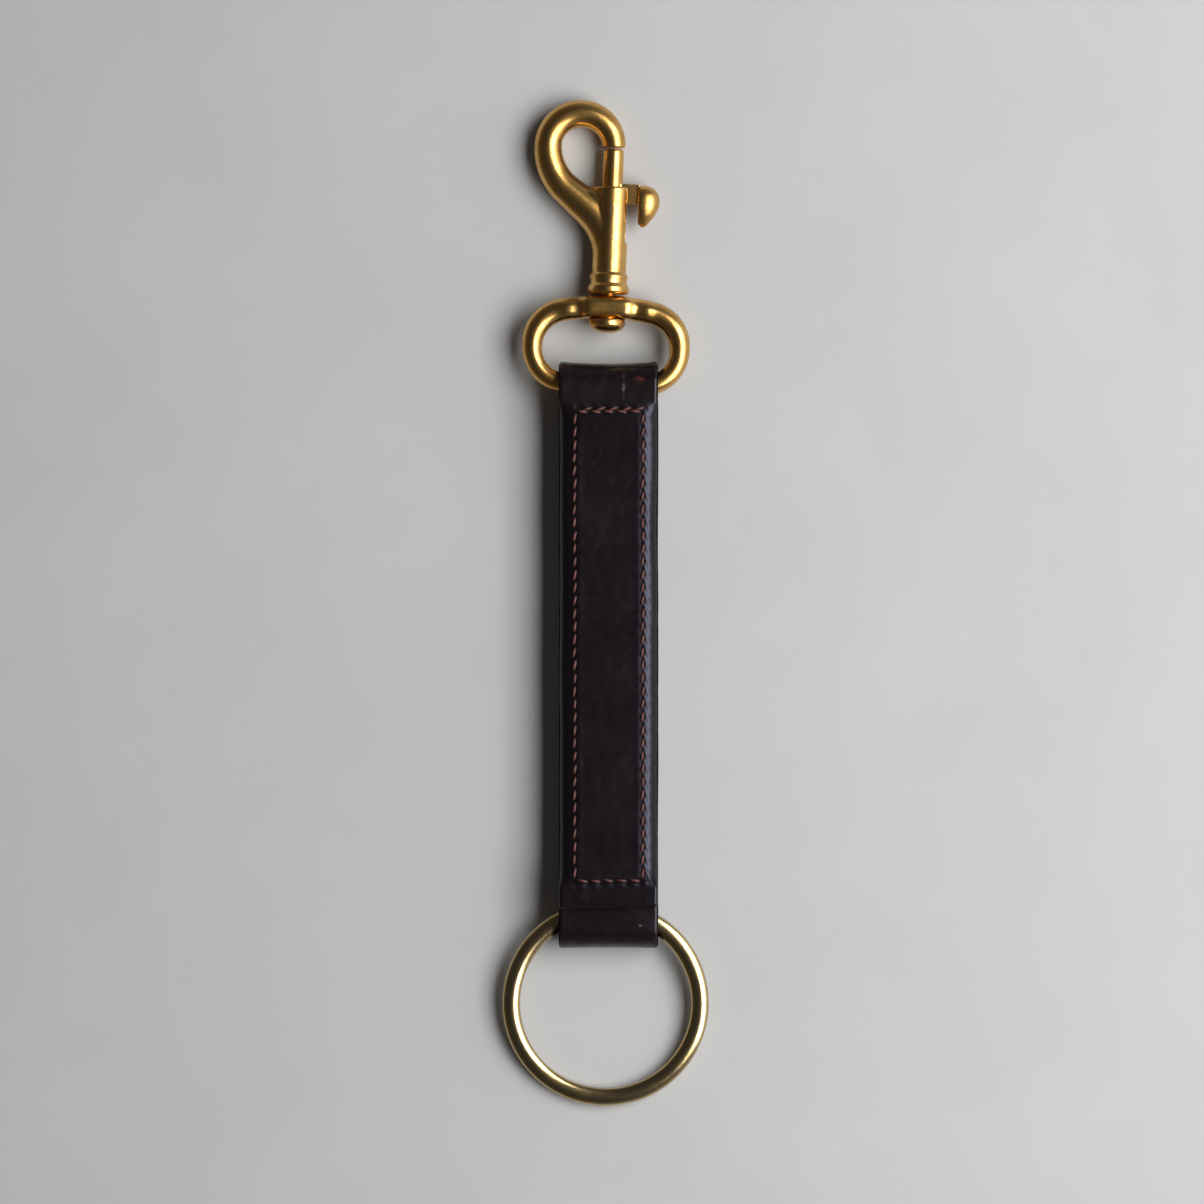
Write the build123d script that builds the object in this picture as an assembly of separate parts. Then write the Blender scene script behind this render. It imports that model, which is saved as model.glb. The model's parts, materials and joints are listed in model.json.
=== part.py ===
from build123d import *
from math import acos, asin, cos, degrees, radians, sin, sqrt
import os

# Leather key fob with a swivelling brass bolt snap at one end and a key ring at the other.
# The strap lies along Y with the snap at +Y and its front face up.

# Strap: one strip, folded into a back layer, a middle layer and a front layer
strap_width = 19.0
strap_length = 113.1
leather_thickness = 2.2
layer_gap = 0.08
edge_round = 0.6
butt_end_from_ring_fold = 7.95
middle_end_from_eye_fold = 7.7
strap_lift = 3.3
back_bend_radius = 6.3
back_bend_start = 1.2
front_bend_radius = 16.0
mouth_flare = 0.95
mouth_depth = 5.0

# Stitching: a rectangle of slanted stitches, laid in a shallow groove
stitch_pitch = 2.5
stitch_length = 2.15
stitch_width = 0.72
stitch_height = 0.62
stitch_slant = 16.0
stitch_row_spacing = 13.1
stitch_top_from_eye_fold = 9.65
stitch_bottom_from_ring_fold = 13.15
groove_depth = 0.3
groove_width = 1.5
thread_clearance = 0.02

# Swivel eye: an oval cast loop with a hub on its top bar
eye_width = 32.2
eye_wire = 3.8
eye_bar_wire = 4.5
eye_height = 15.66
eye_corner_radius = 6.8
eye_side_straight = 0.6
eye_pivot_offset = 0.45
eye_bar_clearance = 0.15
hub_radius = 4.4
hub_round = 1.2
hub_proud = 0.1

# Swivel rivet
rivet_shank_radius = 1.55
rivet_head_radius = 3.5
rivet_head_height = 2.56
rivet_dome_height = 1.7
rivet_clearance = 0.06
head_clearance = 0.1
collar_clearance = 0.2

# Snap body: collar, barrel and hook in one casting
collar_radius = 4.05
collar_height = 2.0
collar_round = 0.8
bead_radius = 3.75
bead_height = 0.9
bead_chamfer = 0.3
cove_height = 0.95
barrel_foot_radius = 3.3
barrel_radius = 3.45
barrel_height = 16.9
barrel_floor = 0.9
barrel_rim_chamfer = 0.3
wall_clearance = 0.08
slot_end_clearance = 0.25
hook_radius = 6.35
hook_rise = 7.64
hook_tip_width = 4.5
hook_tip_round = 0.5
hook_top_width = 5.4
hook_side_width = 5.3
web_width = 6.9
web_thickness = 5.9
hook_root_width = 6.5
spine_radius = 10.9
spine_turn = 51.0
root_radius = 12.0

# Bolt with its thumb piece
bolt_radius = 2.0
bolt_tip_round = 0.5
bolt_tip_clearance = 0.3
bolt_travel = 7.0
bolt_tail = 2.9
neck_height = 4.3
neck_thickness = 2.6
slot_side_clearance = 0.15
neck_above_rim = 0.9
knob_flat_from_axis = 4.95
knob_crest = 1.0
knob_reach = 3.1
knob_height = 7.6
knob_rise = 0.1
knob_thickness = 5.0

# Bolt spring
spring_wire = 0.36
spring_turns = 4.5
spring_clearance = 0.25
spring_seat_gap = 0.05

# Key ring: two turns, each a half-round wire with its flat towards the other
ring_diameter = 39.8
ring_wire_width = 3.4
ring_turn_thickness = 1.27
ring_turn_gap = 0.06
ring_bar_clearance = 1.0
ring_pivot_offset = 1.2
ring_side_shift = -0.56
ring_step_angle = 12.0
ring_end_gap = 0.5
ring_slack = 0.15
ring_bend_gap = 0.3

# How the brass lies at rest
snap_side_shift = -0.8
snap_lean = 2.3
rest_gap = 0.02

# Sizes that follow from those above
half_length = strap_length / 2
eye_tunnel_radius = eye_wire / 2 + eye_pivot_offset + eye_bar_clearance
ring_thickness = 2 * ring_turn_thickness + ring_turn_gap
ring_tunnel_radius = ring_thickness / 2 + ring_bar_clearance
stack_height = 3 * leather_thickness + 2 * layer_gap
front_level = strap_lift + stack_height
eye_fold_radius = eye_tunnel_radius + leather_thickness
ring_fold_radius = ring_tunnel_radius + leather_thickness
eye_axis_y = half_length - eye_fold_radius
eye_axis_z = front_level - eye_fold_radius
eye_fold_bottom = front_level - 2 * eye_fold_radius
ring_fold_y = -half_length + ring_fold_radius
ring_axis_z = ring_fold_radius
middle_level = strap_lift + 2 * leather_thickness + layer_gap
loop_rise = 2 * ring_fold_radius - middle_level
ring_radius = (ring_diameter - ring_wire_width) / 2
stitch_top_y = half_length - stitch_top_from_eye_fold
stitch_bottom_y = -half_length + stitch_bottom_from_ring_fold
butt_y = -half_length + butt_end_from_ring_fold
middle_end_y = half_length - middle_end_from_eye_fold
layer_pitch = leather_thickness + layer_gap
strap_edge_x = strap_width / 2 + abs(ring_side_shift)
ring_inner_radius = ring_radius - ring_wire_width / 2
ring_centre_y = (-half_length + leather_thickness + ring_slack
                 - sqrt(ring_inner_radius ** 2 - strap_edge_x ** 2))
ring_axis_y = ring_centre_y + ring_radius - ring_pivot_offset
ring_bend_y = ring_axis_y + ring_pivot_offset + ring_wire_width / 2 + ring_bend_gap
eye_bend_y = eye_axis_y - eye_tunnel_radius + back_bend_start

# Stations along the snap, counted from the axis that the eye turns about in its fold
eye_top = eye_height - eye_pivot_offset
hub_bottom = eye_top - eye_bar_wire / 2 - hub_proud
hub_top = eye_top + eye_bar_wire / 2
collar_bottom = hub_top + collar_clearance
bead_bottom = collar_bottom + collar_height + cove_height
barrel_bottom = bead_bottom + bead_height
barrel_top = barrel_bottom + barrel_height
bore_bottom = barrel_bottom + barrel_floor
bore_radius = bolt_radius + wall_clearance
hook_tip = barrel_top + hook_rise
bolt_tip = hook_tip - bolt_tip_clearance
neck_top = barrel_top + neck_above_rim
neck_bottom = neck_top - neck_height
bolt_end = neck_bottom - bolt_tail


def strip_runs(start, heading, steps, depth):
    # Straight runs and tangent bends of a strip in the plane of Y and Z: each run's outer line,
    # and its section down to this depth on the right-hand side of the way it goes
    lines = []
    sections = []
    point = Vector(*start)
    direction = Vector(cos(radians(heading)), sin(radians(heading)))
    for radius, amount in steps:
        inner = point + Vector(direction.Y, -direction.X) * depth
        if radius == 0:
            outer_line = Line(point, point + direction * amount)
            inner_line = Line(inner, inner + direction * amount)
        else:
            inner_radius = radius - depth if amount < 0 else radius + depth
            outer_line = JernArc(start=point, tangent=direction, radius=radius, arc_size=amount)
            inner_line = JernArc(start=inner, tangent=direction, radius=inner_radius, arc_size=amount)
        ends = [Line(outer_line @ 0, inner_line @ 0), Line(outer_line @ 1, inner_line @ 1)]
        lines.append(outer_line)
        sections.append(make_face([outer_line, inner_line] + ends))
        point = outer_line @ 1
        direction = outer_line % 1
    return lines, sections


def step_angle(height, radius_sum):
    return degrees(acos(1 - height / radius_sum))


def step_length(height, radius_sum):
    return radius_sum * sin(radians(step_angle(height, radius_sum)))


def front_steps():
    # The front layer, from its butt end over the key ring to the eye fold
    radius_sum = 2 * front_bend_radius + layer_pitch
    angle = step_angle(loop_rise, radius_sum)
    flat_start = ring_bend_y + step_length(loop_rise, radius_sum)
    return [
        (0, ring_bend_y - butt_y),
        (front_bend_radius + layer_pitch, -angle),
        (front_bend_radius, angle),
        (0, eye_axis_y - flat_start),
    ]


def back_steps():
    # The back layer, from the eye fold to the key ring fold, lifted between them
    radius_sum = 2 * back_bend_radius
    eye_step = strap_lift - eye_fold_bottom
    eye_angle = step_angle(eye_step, radius_sum)
    ring_angle = step_angle(strap_lift, radius_sum)
    eye_flat = eye_bend_y - step_length(eye_step, radius_sum)
    ring_flat = ring_bend_y + step_length(strap_lift, radius_sum)
    return [
        (0, eye_axis_y - eye_bend_y),
        (back_bend_radius, -eye_angle),
        (back_bend_radius, eye_angle),
        (0, eye_flat - ring_flat),
        (back_bend_radius, ring_angle),
        (back_bend_radius, -ring_angle),
        (0, ring_bend_y - ring_fold_y),
    ]


def middle_steps():
    # The middle layer, from the key ring fold back up to its end beside the eye
    radius_sum = 2 * front_bend_radius + layer_pitch
    angle = step_angle(loop_rise, radius_sum)
    flat_start = ring_bend_y + step_length(loop_rise, radius_sum)
    return [
        (0, ring_bend_y - ring_fold_y),
        (front_bend_radius, -angle),
        (front_bend_radius + layer_pitch, angle),
        (0, middle_end_y - flat_start),
    ]


def across(sketch, width, shift=0):
    # Stand a sketch of Y and Z up and give it a width along X
    return Pos(shift - width / 2, 0, 0) * extrude(Plane.YZ * sketch, width)


def lies_on(lines, point):
    flat = Vertex(point.Y, point.Z, 0)
    return min(line.distance_to(flat) for line in lines) < 0.001


def stitch_frame(margin):
    # The stitched rectangle seen from above, grown on both sides of the stitch line
    length = stitch_top_y - stitch_bottom_y
    middle = (stitch_top_y + stitch_bottom_y) / 2
    outer = Rectangle(stitch_row_spacing + 2 * margin, length + 2 * margin)
    inner = Rectangle(stitch_row_spacing - 2 * margin, length - 2 * margin)
    return Pos(0, middle) * (outer - inner)


def make_strap():
    half_turn = -180
    front_start = (butt_y, front_level + loop_rise)
    back_start = (eye_axis_y, eye_fold_bottom)
    steps = front_steps() + [(eye_fold_radius, half_turn)] + back_steps()
    steps += [(ring_fold_radius, half_turn)] + middle_steps()
    surface, sections = strip_runs(front_start, 0, steps, leather_thickness)
    strap = across(Sketch() + sections, strap_width)

    corners = [
        edge for edge in strap.edges()
        if abs(abs(edge.center().X) - strap_width / 2) < 0.001
        and lies_on(surface, edge.center())
    ]
    strap = fillet(corners, edge_round)

    # The folds open a little towards both sides, where the curved brass leaves them
    for fold_y, fold_z, radius in (
        (eye_axis_y, eye_axis_z, eye_tunnel_radius),
        (ring_fold_y, ring_axis_z, ring_tunnel_radius),
    ):
        for side in (-1, 1):
            mouth = Cone(radius, radius + mouth_flare, mouth_depth, align=(Align.CENTER, Align.CENTER, Align.MAX))
            turned = Pos(side * strap_width / 2, fold_y, fold_z) * Rot(0, side * 90, 0) * mouth
            strap -= turned

    # The stitches lie in a shallow groove on both faces
    frame = extrude(stitch_frame(groove_width / 2), front_level + loop_rise + leather_thickness)
    for start, heading, face_steps in ((front_start, 0, front_steps()), (back_start, 180, back_steps())):
        skin = strip_runs(start, heading, face_steps, groove_depth)[1]
        strap -= across(Sketch() + skin, strap_width) & frame
    return strap


def surface_point(lines, station):
    # The point of a layer's outer line at this place along the strap
    upright = Line((station, -stack_height), (station, 3 * stack_height))
    for line in lines:
        found = line.intersect(upright)
        if found:
            return Vector(found.vertices()[0])
    raise ValueError("no surface at this place")


def stitch_places():
    # The middle of every stitch seen from above, and the direction of its row
    length = stitch_top_y - stitch_bottom_y
    side_count = round(length / stitch_pitch)
    end_count = round(stitch_row_spacing / stitch_pitch)
    places = []
    for number in range(side_count):
        station = stitch_bottom_y + stitch_width / 2 + (number + 0.5) * (length - stitch_width) / side_count
        places += [(side * stitch_row_spacing / 2, station, 0) for side in (-1, 1)]
    for number in range(end_count):
        offset = ((number + 0.5) / end_count - 0.5) * (stitch_row_spacing - stitch_width)
        places += [(offset, station, 90) for station in (stitch_bottom_y, stitch_top_y)]
    return places


def make_stitching():
    corners = [(stitch_width / 2, 0), (stitch_width / 4, stitch_height / 2)]
    corners += [(-x, z) for x, z in reversed(corners)]
    corners += [(-corners[1][0], -corners[1][1]), (corners[1][0], -corners[1][1])]
    section = make_face(Polyline(*corners, close=True))
    thread = Rot(90, 0, 0) * extrude(section, stitch_length / 2, both=True)
    floor_gap = stitch_height / 2 + thread_clearance - groove_depth
    stitches = []
    faces = (
        (1, strip_runs((butt_y, front_level + loop_rise), 0, front_steps(), leather_thickness)[0]),
        (-1, strip_runs((eye_axis_y, eye_fold_bottom), 180, back_steps(), leather_thickness)[0]),
    )
    for outward, lines in faces:
        for x, y, row_angle in stitch_places():
            # Each stitch bridges a hollow of the surface and rests on the top of a rise
            reach = (stitch_width if row_angle else stitch_length) / 2
            low = surface_point(lines, y - reach)
            high = surface_point(lines, y + reach)
            middle = surface_point(lines, y)
            level = max(outward * (low.Y + high.Y) / 2, outward * middle.Y) + floor_gap
            slope = (high - low).normalized()
            seat = Plane(
                origin=(x, y, outward * level),
                x_dir=(1, 0, 0),
                z_dir=(0, -outward * slope.Y, outward * slope.X),
            )
            stitches.append(seat * Rot(0, 0, row_angle - stitch_slant) * thread)
    return Compound(stitches)


def closed_loop_half(side):
    # Half of the eye's wire: a crown arc, a corner, a straight side, a corner and a lower crown arc
    half_width = (eye_width - eye_wire) / 2
    half_height = eye_height / 2
    half_straight = eye_side_straight / 2
    corner = eye_corner_radius
    reach = half_height - half_straight
    crown = ((half_width - corner) ** 2 + reach ** 2 - corner ** 2) / (2 * (reach - corner))
    crown_angle = degrees(asin((half_width - corner) / (crown - corner)))
    top = JernArc(start=(0, eye_top), tangent=(side, 0), radius=crown, arc_size=-side * crown_angle)
    shoulder = JernArc(start=top @ 1, tangent=top % 1, radius=corner, arc_size=-side * (90 - crown_angle))
    upright = Line(shoulder @ 1, shoulder @ 1 - Vector(0, eye_side_straight))
    heel = JernArc(start=upright @ 1, tangent=(0, -1), radius=corner, arc_size=-side * (90 - crown_angle))
    bottom = JernArc(start=heel @ 1, tangent=heel % 1, radius=crown, arc_size=-side * crown_angle)
    return Wire([top.edge(), shoulder.edge(), upright.edge(), heel.edge(), bottom.edge()])


def make_swivel_eye():
    eye = None
    for side in (-1, 1):
        path = closed_loop_half(side)
        widths = (eye_bar_wire, (eye_bar_wire + eye_wire) / 2, eye_wire, eye_wire)
        rings = [(path ^ (order / 3)) * Circle(width / 2) for order, width in enumerate(widths)]
        half = sweep(sections=rings, path=path, multisection=True)
        eye = half if eye is None else eye + half
    hub = Cylinder(hub_radius, hub_top - hub_bottom)
    hub = fillet(hub.edges().filter_by(GeomType.CIRCLE), hub_round)
    eye += Pos(0, (hub_bottom + hub_top) / 2, 0) * Rot(90, 0, 0) * hub
    hole = Cylinder(rivet_shank_radius + rivet_clearance, 2 * (hub_top - hub_bottom))
    return eye - Pos(0, (hub_bottom + hub_top) / 2, 0) * Rot(90, 0, 0) * hole


def turned(outline):
    # A shape turned about the snap's own axis, from an outline of radii and stations
    return revolve(outline, Axis.Y, 360)


def make_swivel_rivet():
    head_top = hub_bottom - head_clearance
    head_bottom = head_top - rivet_head_height
    rim = head_bottom + rivet_dome_height
    dome = ThreePointArc(
        (0, head_bottom),
        (rivet_head_radius * 0.62, head_bottom + rivet_dome_height * 0.22),
        (rivet_head_radius, rim),
    )
    outline = Polyline(
        (rivet_head_radius, rim),
        (rivet_head_radius, head_top),
        (rivet_shank_radius, head_top),
        (rivet_shank_radius, bore_bottom),
        (0, bore_bottom),
        (0, head_bottom),
    )
    return turned(make_face([dome] + list(outline.edges())))


def hook_path():
    bend = JernArc(start=(0, hook_tip), tangent=(0, 1), radius=hook_radius, arc_size=180)
    spine = JernArc(start=bend @ 1, tangent=(0, -1), radius=spine_radius, arc_size=spine_turn)
    root_shift = root_radius * (1 - cos(radians(spine_turn)))
    run = (-(spine @ 1).X - root_shift) / sin(radians(spine_turn))
    straight = Line(spine @ 1, spine @ 1 + (spine % 1) * run)
    root = JernArc(start=straight @ 1, tangent=straight % 1, radius=root_radius, arc_size=-spine_turn)
    return Wire([bend.edge(), spine.edge(), straight.edge(), root.edge()])


def upright_oval(path, place, wide, deep):
    # An oval section across a path that lies in the plane of X and Y
    across = (path % place).cross(Vector(0, 0, 1))
    plane = Plane(origin=path @ place, x_dir=across, z_dir=path % place)
    return plane * Ellipse(wide / 2, deep / 2)


def make_snap_body():
    outline = Polyline(
        (0, collar_bottom),
        (collar_radius, collar_bottom),
        (collar_radius, collar_bottom + collar_height),
        (barrel_foot_radius, bead_bottom),
        (bead_radius, bead_bottom),
        (bead_radius, barrel_bottom),
        (barrel_foot_radius, barrel_bottom),
        (barrel_radius, barrel_top),
        (0, barrel_top),
        close=True,
    )
    half = make_face(outline)
    half = fillet([v for v in half.vertices() if abs(v.X - collar_radius) < 0.001], collar_round)
    half = chamfer([v for v in half.vertices() if abs(v.X - bead_radius) < 0.001], bead_chamfer)
    rim = [v for v in half.vertices() if abs(v.Y - barrel_top) < 0.001 and v.X > 1]
    half = chamfer(rim, barrel_rim_chamfer)
    body = turned(half)

    path = hook_path()
    # The hook is round at its tip and bend, and spreads into a web before it joins the barrel
    widths = (
        hook_tip_width,
        hook_top_width,
        hook_side_width,
        (2 * hook_side_width + web_width) / 3,
        web_width,
        hook_root_width,
    )
    depths = (
        hook_tip_width,
        hook_top_width,
        hook_side_width,
        (4 * hook_side_width + web_thickness) / 5,
        web_thickness,
        hook_root_width,
    )
    rings = [
        upright_oval(path, order / (len(widths) - 1), wide, deep)
        for order, (wide, deep) in enumerate(zip(widths, depths))
    ]
    body += sweep(sections=rings, path=path, multisection=True)
    tip = [e for e in body.edges() if abs(e.bounding_box().max.Y - hook_tip) < 0.01 and abs(e.center().X) < 3]
    body = fillet([e for e in tip if e.bounding_box().size.Y < 0.01], hook_tip_round)

    bore = Cylinder(
        bore_radius, bolt_tip - bore_bottom, align=(Align.CENTER, Align.CENTER, Align.MIN)
    )
    body -= Pos(0, bore_bottom, 0) * Rot(-90, 0, 0) * bore
    shank = Cylinder(rivet_shank_radius, 2 * barrel_height)
    shank = Pos(0, bore_bottom - barrel_height + wall_clearance, 0) * Rot(90, 0, 0) * shank
    body -= shank

    slot_bottom = neck_bottom - bolt_travel - slot_end_clearance
    slot_width = neck_thickness + 2 * slot_side_clearance
    slot_length = bolt_tip - slot_bottom - slot_width / 2
    slot = Pos(0, slot_bottom + slot_width / 2, 0) * Box(
        2 * barrel_radius, slot_length, slot_width, align=(Align.MIN, Align.MIN, Align.CENTER)
    )
    rounded = Pos(0, slot_bottom + slot_width / 2, 0) * Rot(0, 90, 0) * Cylinder(
        slot_width / 2, 2 * barrel_radius, align=(Align.CENTER, Align.CENTER, Align.MIN)
    )
    return body - slot - rounded


def make_bolt():
    rod = Cylinder(bolt_radius, bolt_tip - bolt_end, align=(Align.CENTER, Align.CENTER, Align.MIN))
    rod = fillet(rod.edges().sort_by(Axis.Z)[-1], bolt_tip_round)
    bolt = Pos(0, bolt_end, 0) * Rot(-90, 0, 0) * rod
    neck_reach = knob_flat_from_axis + knob_crest
    neck = Pos(0, neck_bottom + neck_thickness / 2, 0) * Box(
        neck_reach, neck_height - neck_thickness / 2, neck_thickness,
        align=(Align.MIN, Align.MIN, Align.CENTER),
    )
    neck += Pos(0, neck_bottom + neck_thickness / 2, 0) * Rot(0, 90, 0) * Cylinder(
        neck_thickness / 2, neck_reach, align=(Align.CENTER, Align.CENTER, Align.MIN)
    )
    return bolt + neck + make_knob()


def make_knob():
    # A drop-shaped thumb piece, domed all round and cut flat on its side towards the barrel
    rings = []
    outline = ((0, 0.4), (0.08, 0.68), (0.2, 0.9), (0.36, 1), (0.54, 0.93), (0.72, 0.7), (0.88, 0.36), (1, 0.14))
    for drop, share in outline:
        ring = Rot(90, 0, 0) * Ellipse(share * knob_reach, share * knob_thickness / 2)
        rings.append(Pos(knob_flat_from_axis + knob_crest, neck_top + knob_rise - drop * knob_height, 0) * ring)
    flat = Pos(knob_flat_from_axis, neck_top, 0) * Box(
        2 * knob_reach, 3 * knob_height, 2 * knob_thickness, align=(Align.MIN, Align.CENTER, Align.CENTER)
    )
    knob = loft(rings) & flat
    return knob


def make_bolt_spring():
    bottom = bore_bottom + spring_seat_gap + spring_wire / 2
    height = bolt_end - spring_seat_gap - spring_wire / 2 - bottom
    radius = bore_radius - spring_clearance - spring_wire / 2
    coil = Helix(pitch=height / spring_turns, height=height, radius=radius)
    wire = Plane(origin=coil @ 0, z_dir=coil % 0) * Rectangle(spring_wire, spring_wire)
    spring = sweep(wire, path=coil, is_frenet=True)
    return Pos(0, bottom, 0) * Rot(-90, 0, 0) * spring


def make_key_ring():
    outline = Ellipse(ring_wire_width / 2, ring_turn_thickness)
    upper_half = Rectangle(2 * ring_wire_width, 2 * ring_turn_thickness, align=(Align.CENTER, Align.MIN))
    half_round = outline & upper_half
    ring = None
    for side in (1, -1):
        section = half_round if side > 0 else mirror(half_round, Plane.XZ)
        wire = Plane.XZ * Pos(ring_radius, side * ring_turn_gap / 2) * section
        turn = revolve(wire, Axis.Z, 360)
        # One end of the wire is cut free beside the step, inside the leather fold
        angle = 90 + side * (ring_step_angle / 2 + degrees(ring_end_gap / ring_radius) / 2)
        gap = Rot(0, 0, angle) * Pos(ring_radius, 0, side * ring_thickness / 2) * Box(
            2 * ring_wire_width, ring_end_gap, ring_thickness
        )
        turn -= gap
        ring = turn if ring is None else ring + turn
    step = Plane.XZ * Pos(ring_radius, 0) * Rectangle(ring_wire_width * 0.8, 2 * ring_turn_gap)
    ring += Rot(0, 0, 90 - ring_step_angle / 2) * revolve(step, Axis.Z, ring_step_angle)
    return Pos(0, ring_pivot_offset - ring_radius, 0) * ring


def snap_droop():
    # The snap droops from the fold until the first of its round parts lies on the table
    supports = ((hub_radius, hub_top), (collar_radius, collar_bottom + collar_height), (barrel_radius, barrel_top))
    return min(degrees(asin((eye_axis_z - radius - rest_gap) / station)) for radius, station in supports)


def ring_tilt():
    far_side = 2 * ring_radius - ring_pivot_offset
    return degrees(asin((ring_axis_z - ring_thickness / 2 - rest_gap) / far_side))


def place_pieces():
    snap_place = Pos(snap_side_shift, eye_axis_y, eye_axis_z)
    snap_place = snap_place * Rot(0, 0, -snap_lean) * Rot(-snap_droop(), 0, 0)
    ring_place = Pos(ring_side_shift, ring_axis_y, ring_axis_z) * Rot(ring_tilt(), 0, 0)
    pieces = {
        "strap": make_strap(),
        "stitching": make_stitching(),
        "swivel_eye": snap_place * make_swivel_eye(),
        "swivel_rivet": snap_place * make_swivel_rivet(),
        "snap_body": snap_place * make_snap_body(),
        "bolt": snap_place * make_bolt(),
        "bolt_spring": snap_place * make_bolt_spring(),
        "key_ring": ring_place * make_key_ring(),
    }
    box = Compound(list(pieces.values())).bounding_box()
    centre = Pos(-box.center().X, -box.center().Y, -box.min.Z)
    return {name: centre * piece for name, piece in pieces.items()}, centre, snap_place, ring_place


if __name__ == "__main__":
    os.makedirs("parts", exist_ok=True)
    for name, piece in place_pieces()[0].items():
        export_step(piece, f"parts/{name}.step")
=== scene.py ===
import json
from math import acos, ceil, cos, pi, radians, sin, tau

import bpy
import numpy as np
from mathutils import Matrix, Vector


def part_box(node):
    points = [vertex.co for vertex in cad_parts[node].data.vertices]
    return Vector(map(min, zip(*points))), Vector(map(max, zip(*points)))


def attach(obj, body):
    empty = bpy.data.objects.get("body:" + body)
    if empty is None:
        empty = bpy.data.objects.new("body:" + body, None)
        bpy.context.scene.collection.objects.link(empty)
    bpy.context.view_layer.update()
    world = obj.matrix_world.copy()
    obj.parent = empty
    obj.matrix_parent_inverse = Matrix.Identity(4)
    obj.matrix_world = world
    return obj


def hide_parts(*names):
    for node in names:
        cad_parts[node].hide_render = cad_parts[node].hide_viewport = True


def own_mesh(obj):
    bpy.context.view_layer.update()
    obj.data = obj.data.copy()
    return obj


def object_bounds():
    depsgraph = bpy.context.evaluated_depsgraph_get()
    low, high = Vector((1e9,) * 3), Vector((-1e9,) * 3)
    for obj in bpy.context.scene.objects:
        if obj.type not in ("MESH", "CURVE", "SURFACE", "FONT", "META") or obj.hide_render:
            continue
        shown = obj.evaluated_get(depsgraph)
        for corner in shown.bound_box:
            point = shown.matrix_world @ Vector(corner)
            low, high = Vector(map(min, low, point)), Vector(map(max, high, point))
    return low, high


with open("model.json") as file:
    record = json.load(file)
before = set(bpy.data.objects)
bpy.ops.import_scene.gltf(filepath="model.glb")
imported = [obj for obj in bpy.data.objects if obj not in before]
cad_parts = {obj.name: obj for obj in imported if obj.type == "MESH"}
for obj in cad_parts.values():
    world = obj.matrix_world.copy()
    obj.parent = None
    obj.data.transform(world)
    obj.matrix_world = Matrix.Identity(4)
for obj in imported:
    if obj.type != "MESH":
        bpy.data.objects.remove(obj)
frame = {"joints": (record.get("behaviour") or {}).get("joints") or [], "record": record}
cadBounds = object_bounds()
print("frame loaded")

mm = 0.001   # metres in a millimetre
chance = np.random.default_rng(41)


# where things are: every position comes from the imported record
joints = {joint["name"]: joint for joint in frame["joints"]}
mounts = {mount["name"]: mount for mount in frame["record"]["mounts"]}


def unit(vector):
    vector = np.array(vector, float)
    return vector / np.linalg.norm(vector)


def frameAt(origin, right, along):
    # an origin and three square axes, from a point, a sideways and a lengthways direction
    along = unit(along)
    right = unit(np.array(right, float) - along * np.dot(right, along))
    return np.array(origin, float), np.stack([right, along, np.cross(right, along)])


snapPlace = frameAt(joints["eye_swing"]["pos_m"], joints["eye_swing"]["axis"], joints["snap_swivel"]["axis"])
ringUp = unit(mounts["ring_inside"]["axis"])
ringPlace = frameAt(mounts["ring_inside"]["pos_m"], (1, 0, 0), np.cross(ringUp, (1, 0, 0)))


def placed(points, place):
    # millimetres in a piece's own frame, to metres in the shared one
    origin, axes = place
    return origin + (points * mm) @ axes


def gridFaces(rows, columns):
    # four-sided faces between neighbouring rows of points, each row closed round
    i, j = np.meshgrid(np.arange(rows - 1), np.arange(columns), indexing="ij")
    nextJ = (j + 1) % columns
    corners = (i * columns + j, i * columns + nextJ, (i + 1) * columns + nextJ, (i + 1) * columns + j)
    return np.stack(corners, -1).reshape(-1, 4)


def fanFaces(ring, centre, flip=False):
    # a fan of triangles from a closed ring of points to one centre point
    following = np.roll(ring, -1)
    fan = np.stack([ring, following, np.full(len(ring), centre)], -1)
    return fan[:, ::-1] if flip else fan


def tubeFaces(rows, sides):
    # a tube's wall, and a fan over each end to the two centre points that follow its rows of points
    first = np.arange(sides)
    last = first + (rows - 1) * sides
    fans = [fanFaces(first, rows * sides, flip=True), fanFaces(last, rows * sides + 1)]
    return [gridFaces(rows, sides), np.concatenate(fans)]


def markPoints(piece, name, values):
    # one number for each point of the mesh, for the shaders
    mark = piece.data.attributes.new(name, "FLOAT", "POINT")
    mark.data.foreach_set("value", values.astype(np.float32))


def makePiece(name, points, faceSets, smooth=True):
    # a mesh from points in metres and sets of triangles or of four-sided faces
    mesh = bpy.data.meshes.new(name)
    points = np.asarray(points, np.float32).reshape(-1, 3)
    sizes = np.concatenate([np.full(len(faces), faces.shape[1]) for faces in faceSets])
    corners = np.concatenate([faces.ravel() for faces in faceSets])
    mesh.vertices.add(len(points))
    mesh.vertices.foreach_set("co", points.ravel())
    mesh.loops.add(len(corners))
    mesh.loops.foreach_set("vertex_index", corners.astype(np.int32))
    mesh.polygons.add(len(sizes))
    mesh.polygons.foreach_set("loop_start", (np.cumsum(sizes) - sizes).astype(np.int32))
    mesh.polygons.foreach_set("use_smooth", np.full(len(sizes), smooth))
    mesh.update(calc_edges=True)
    mesh.validate()
    piece = bpy.data.objects.new(name, mesh)
    bpy.context.scene.collection.objects.link(piece)
    return piece


def facingOut(points, faces):
    # turn a closed shell's faces round if the volume they enclose comes out negative
    corners = [points[group[:, [0, k, k + 1]]] for group in faces for k in range(1, group.shape[1] - 1)]
    a, b, c = np.concatenate(corners).transpose(1, 0, 2)
    return points, ([group[:, ::-1] for group in faces] if (a * np.cross(b, c)).sum() < 0 else faces)


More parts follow.
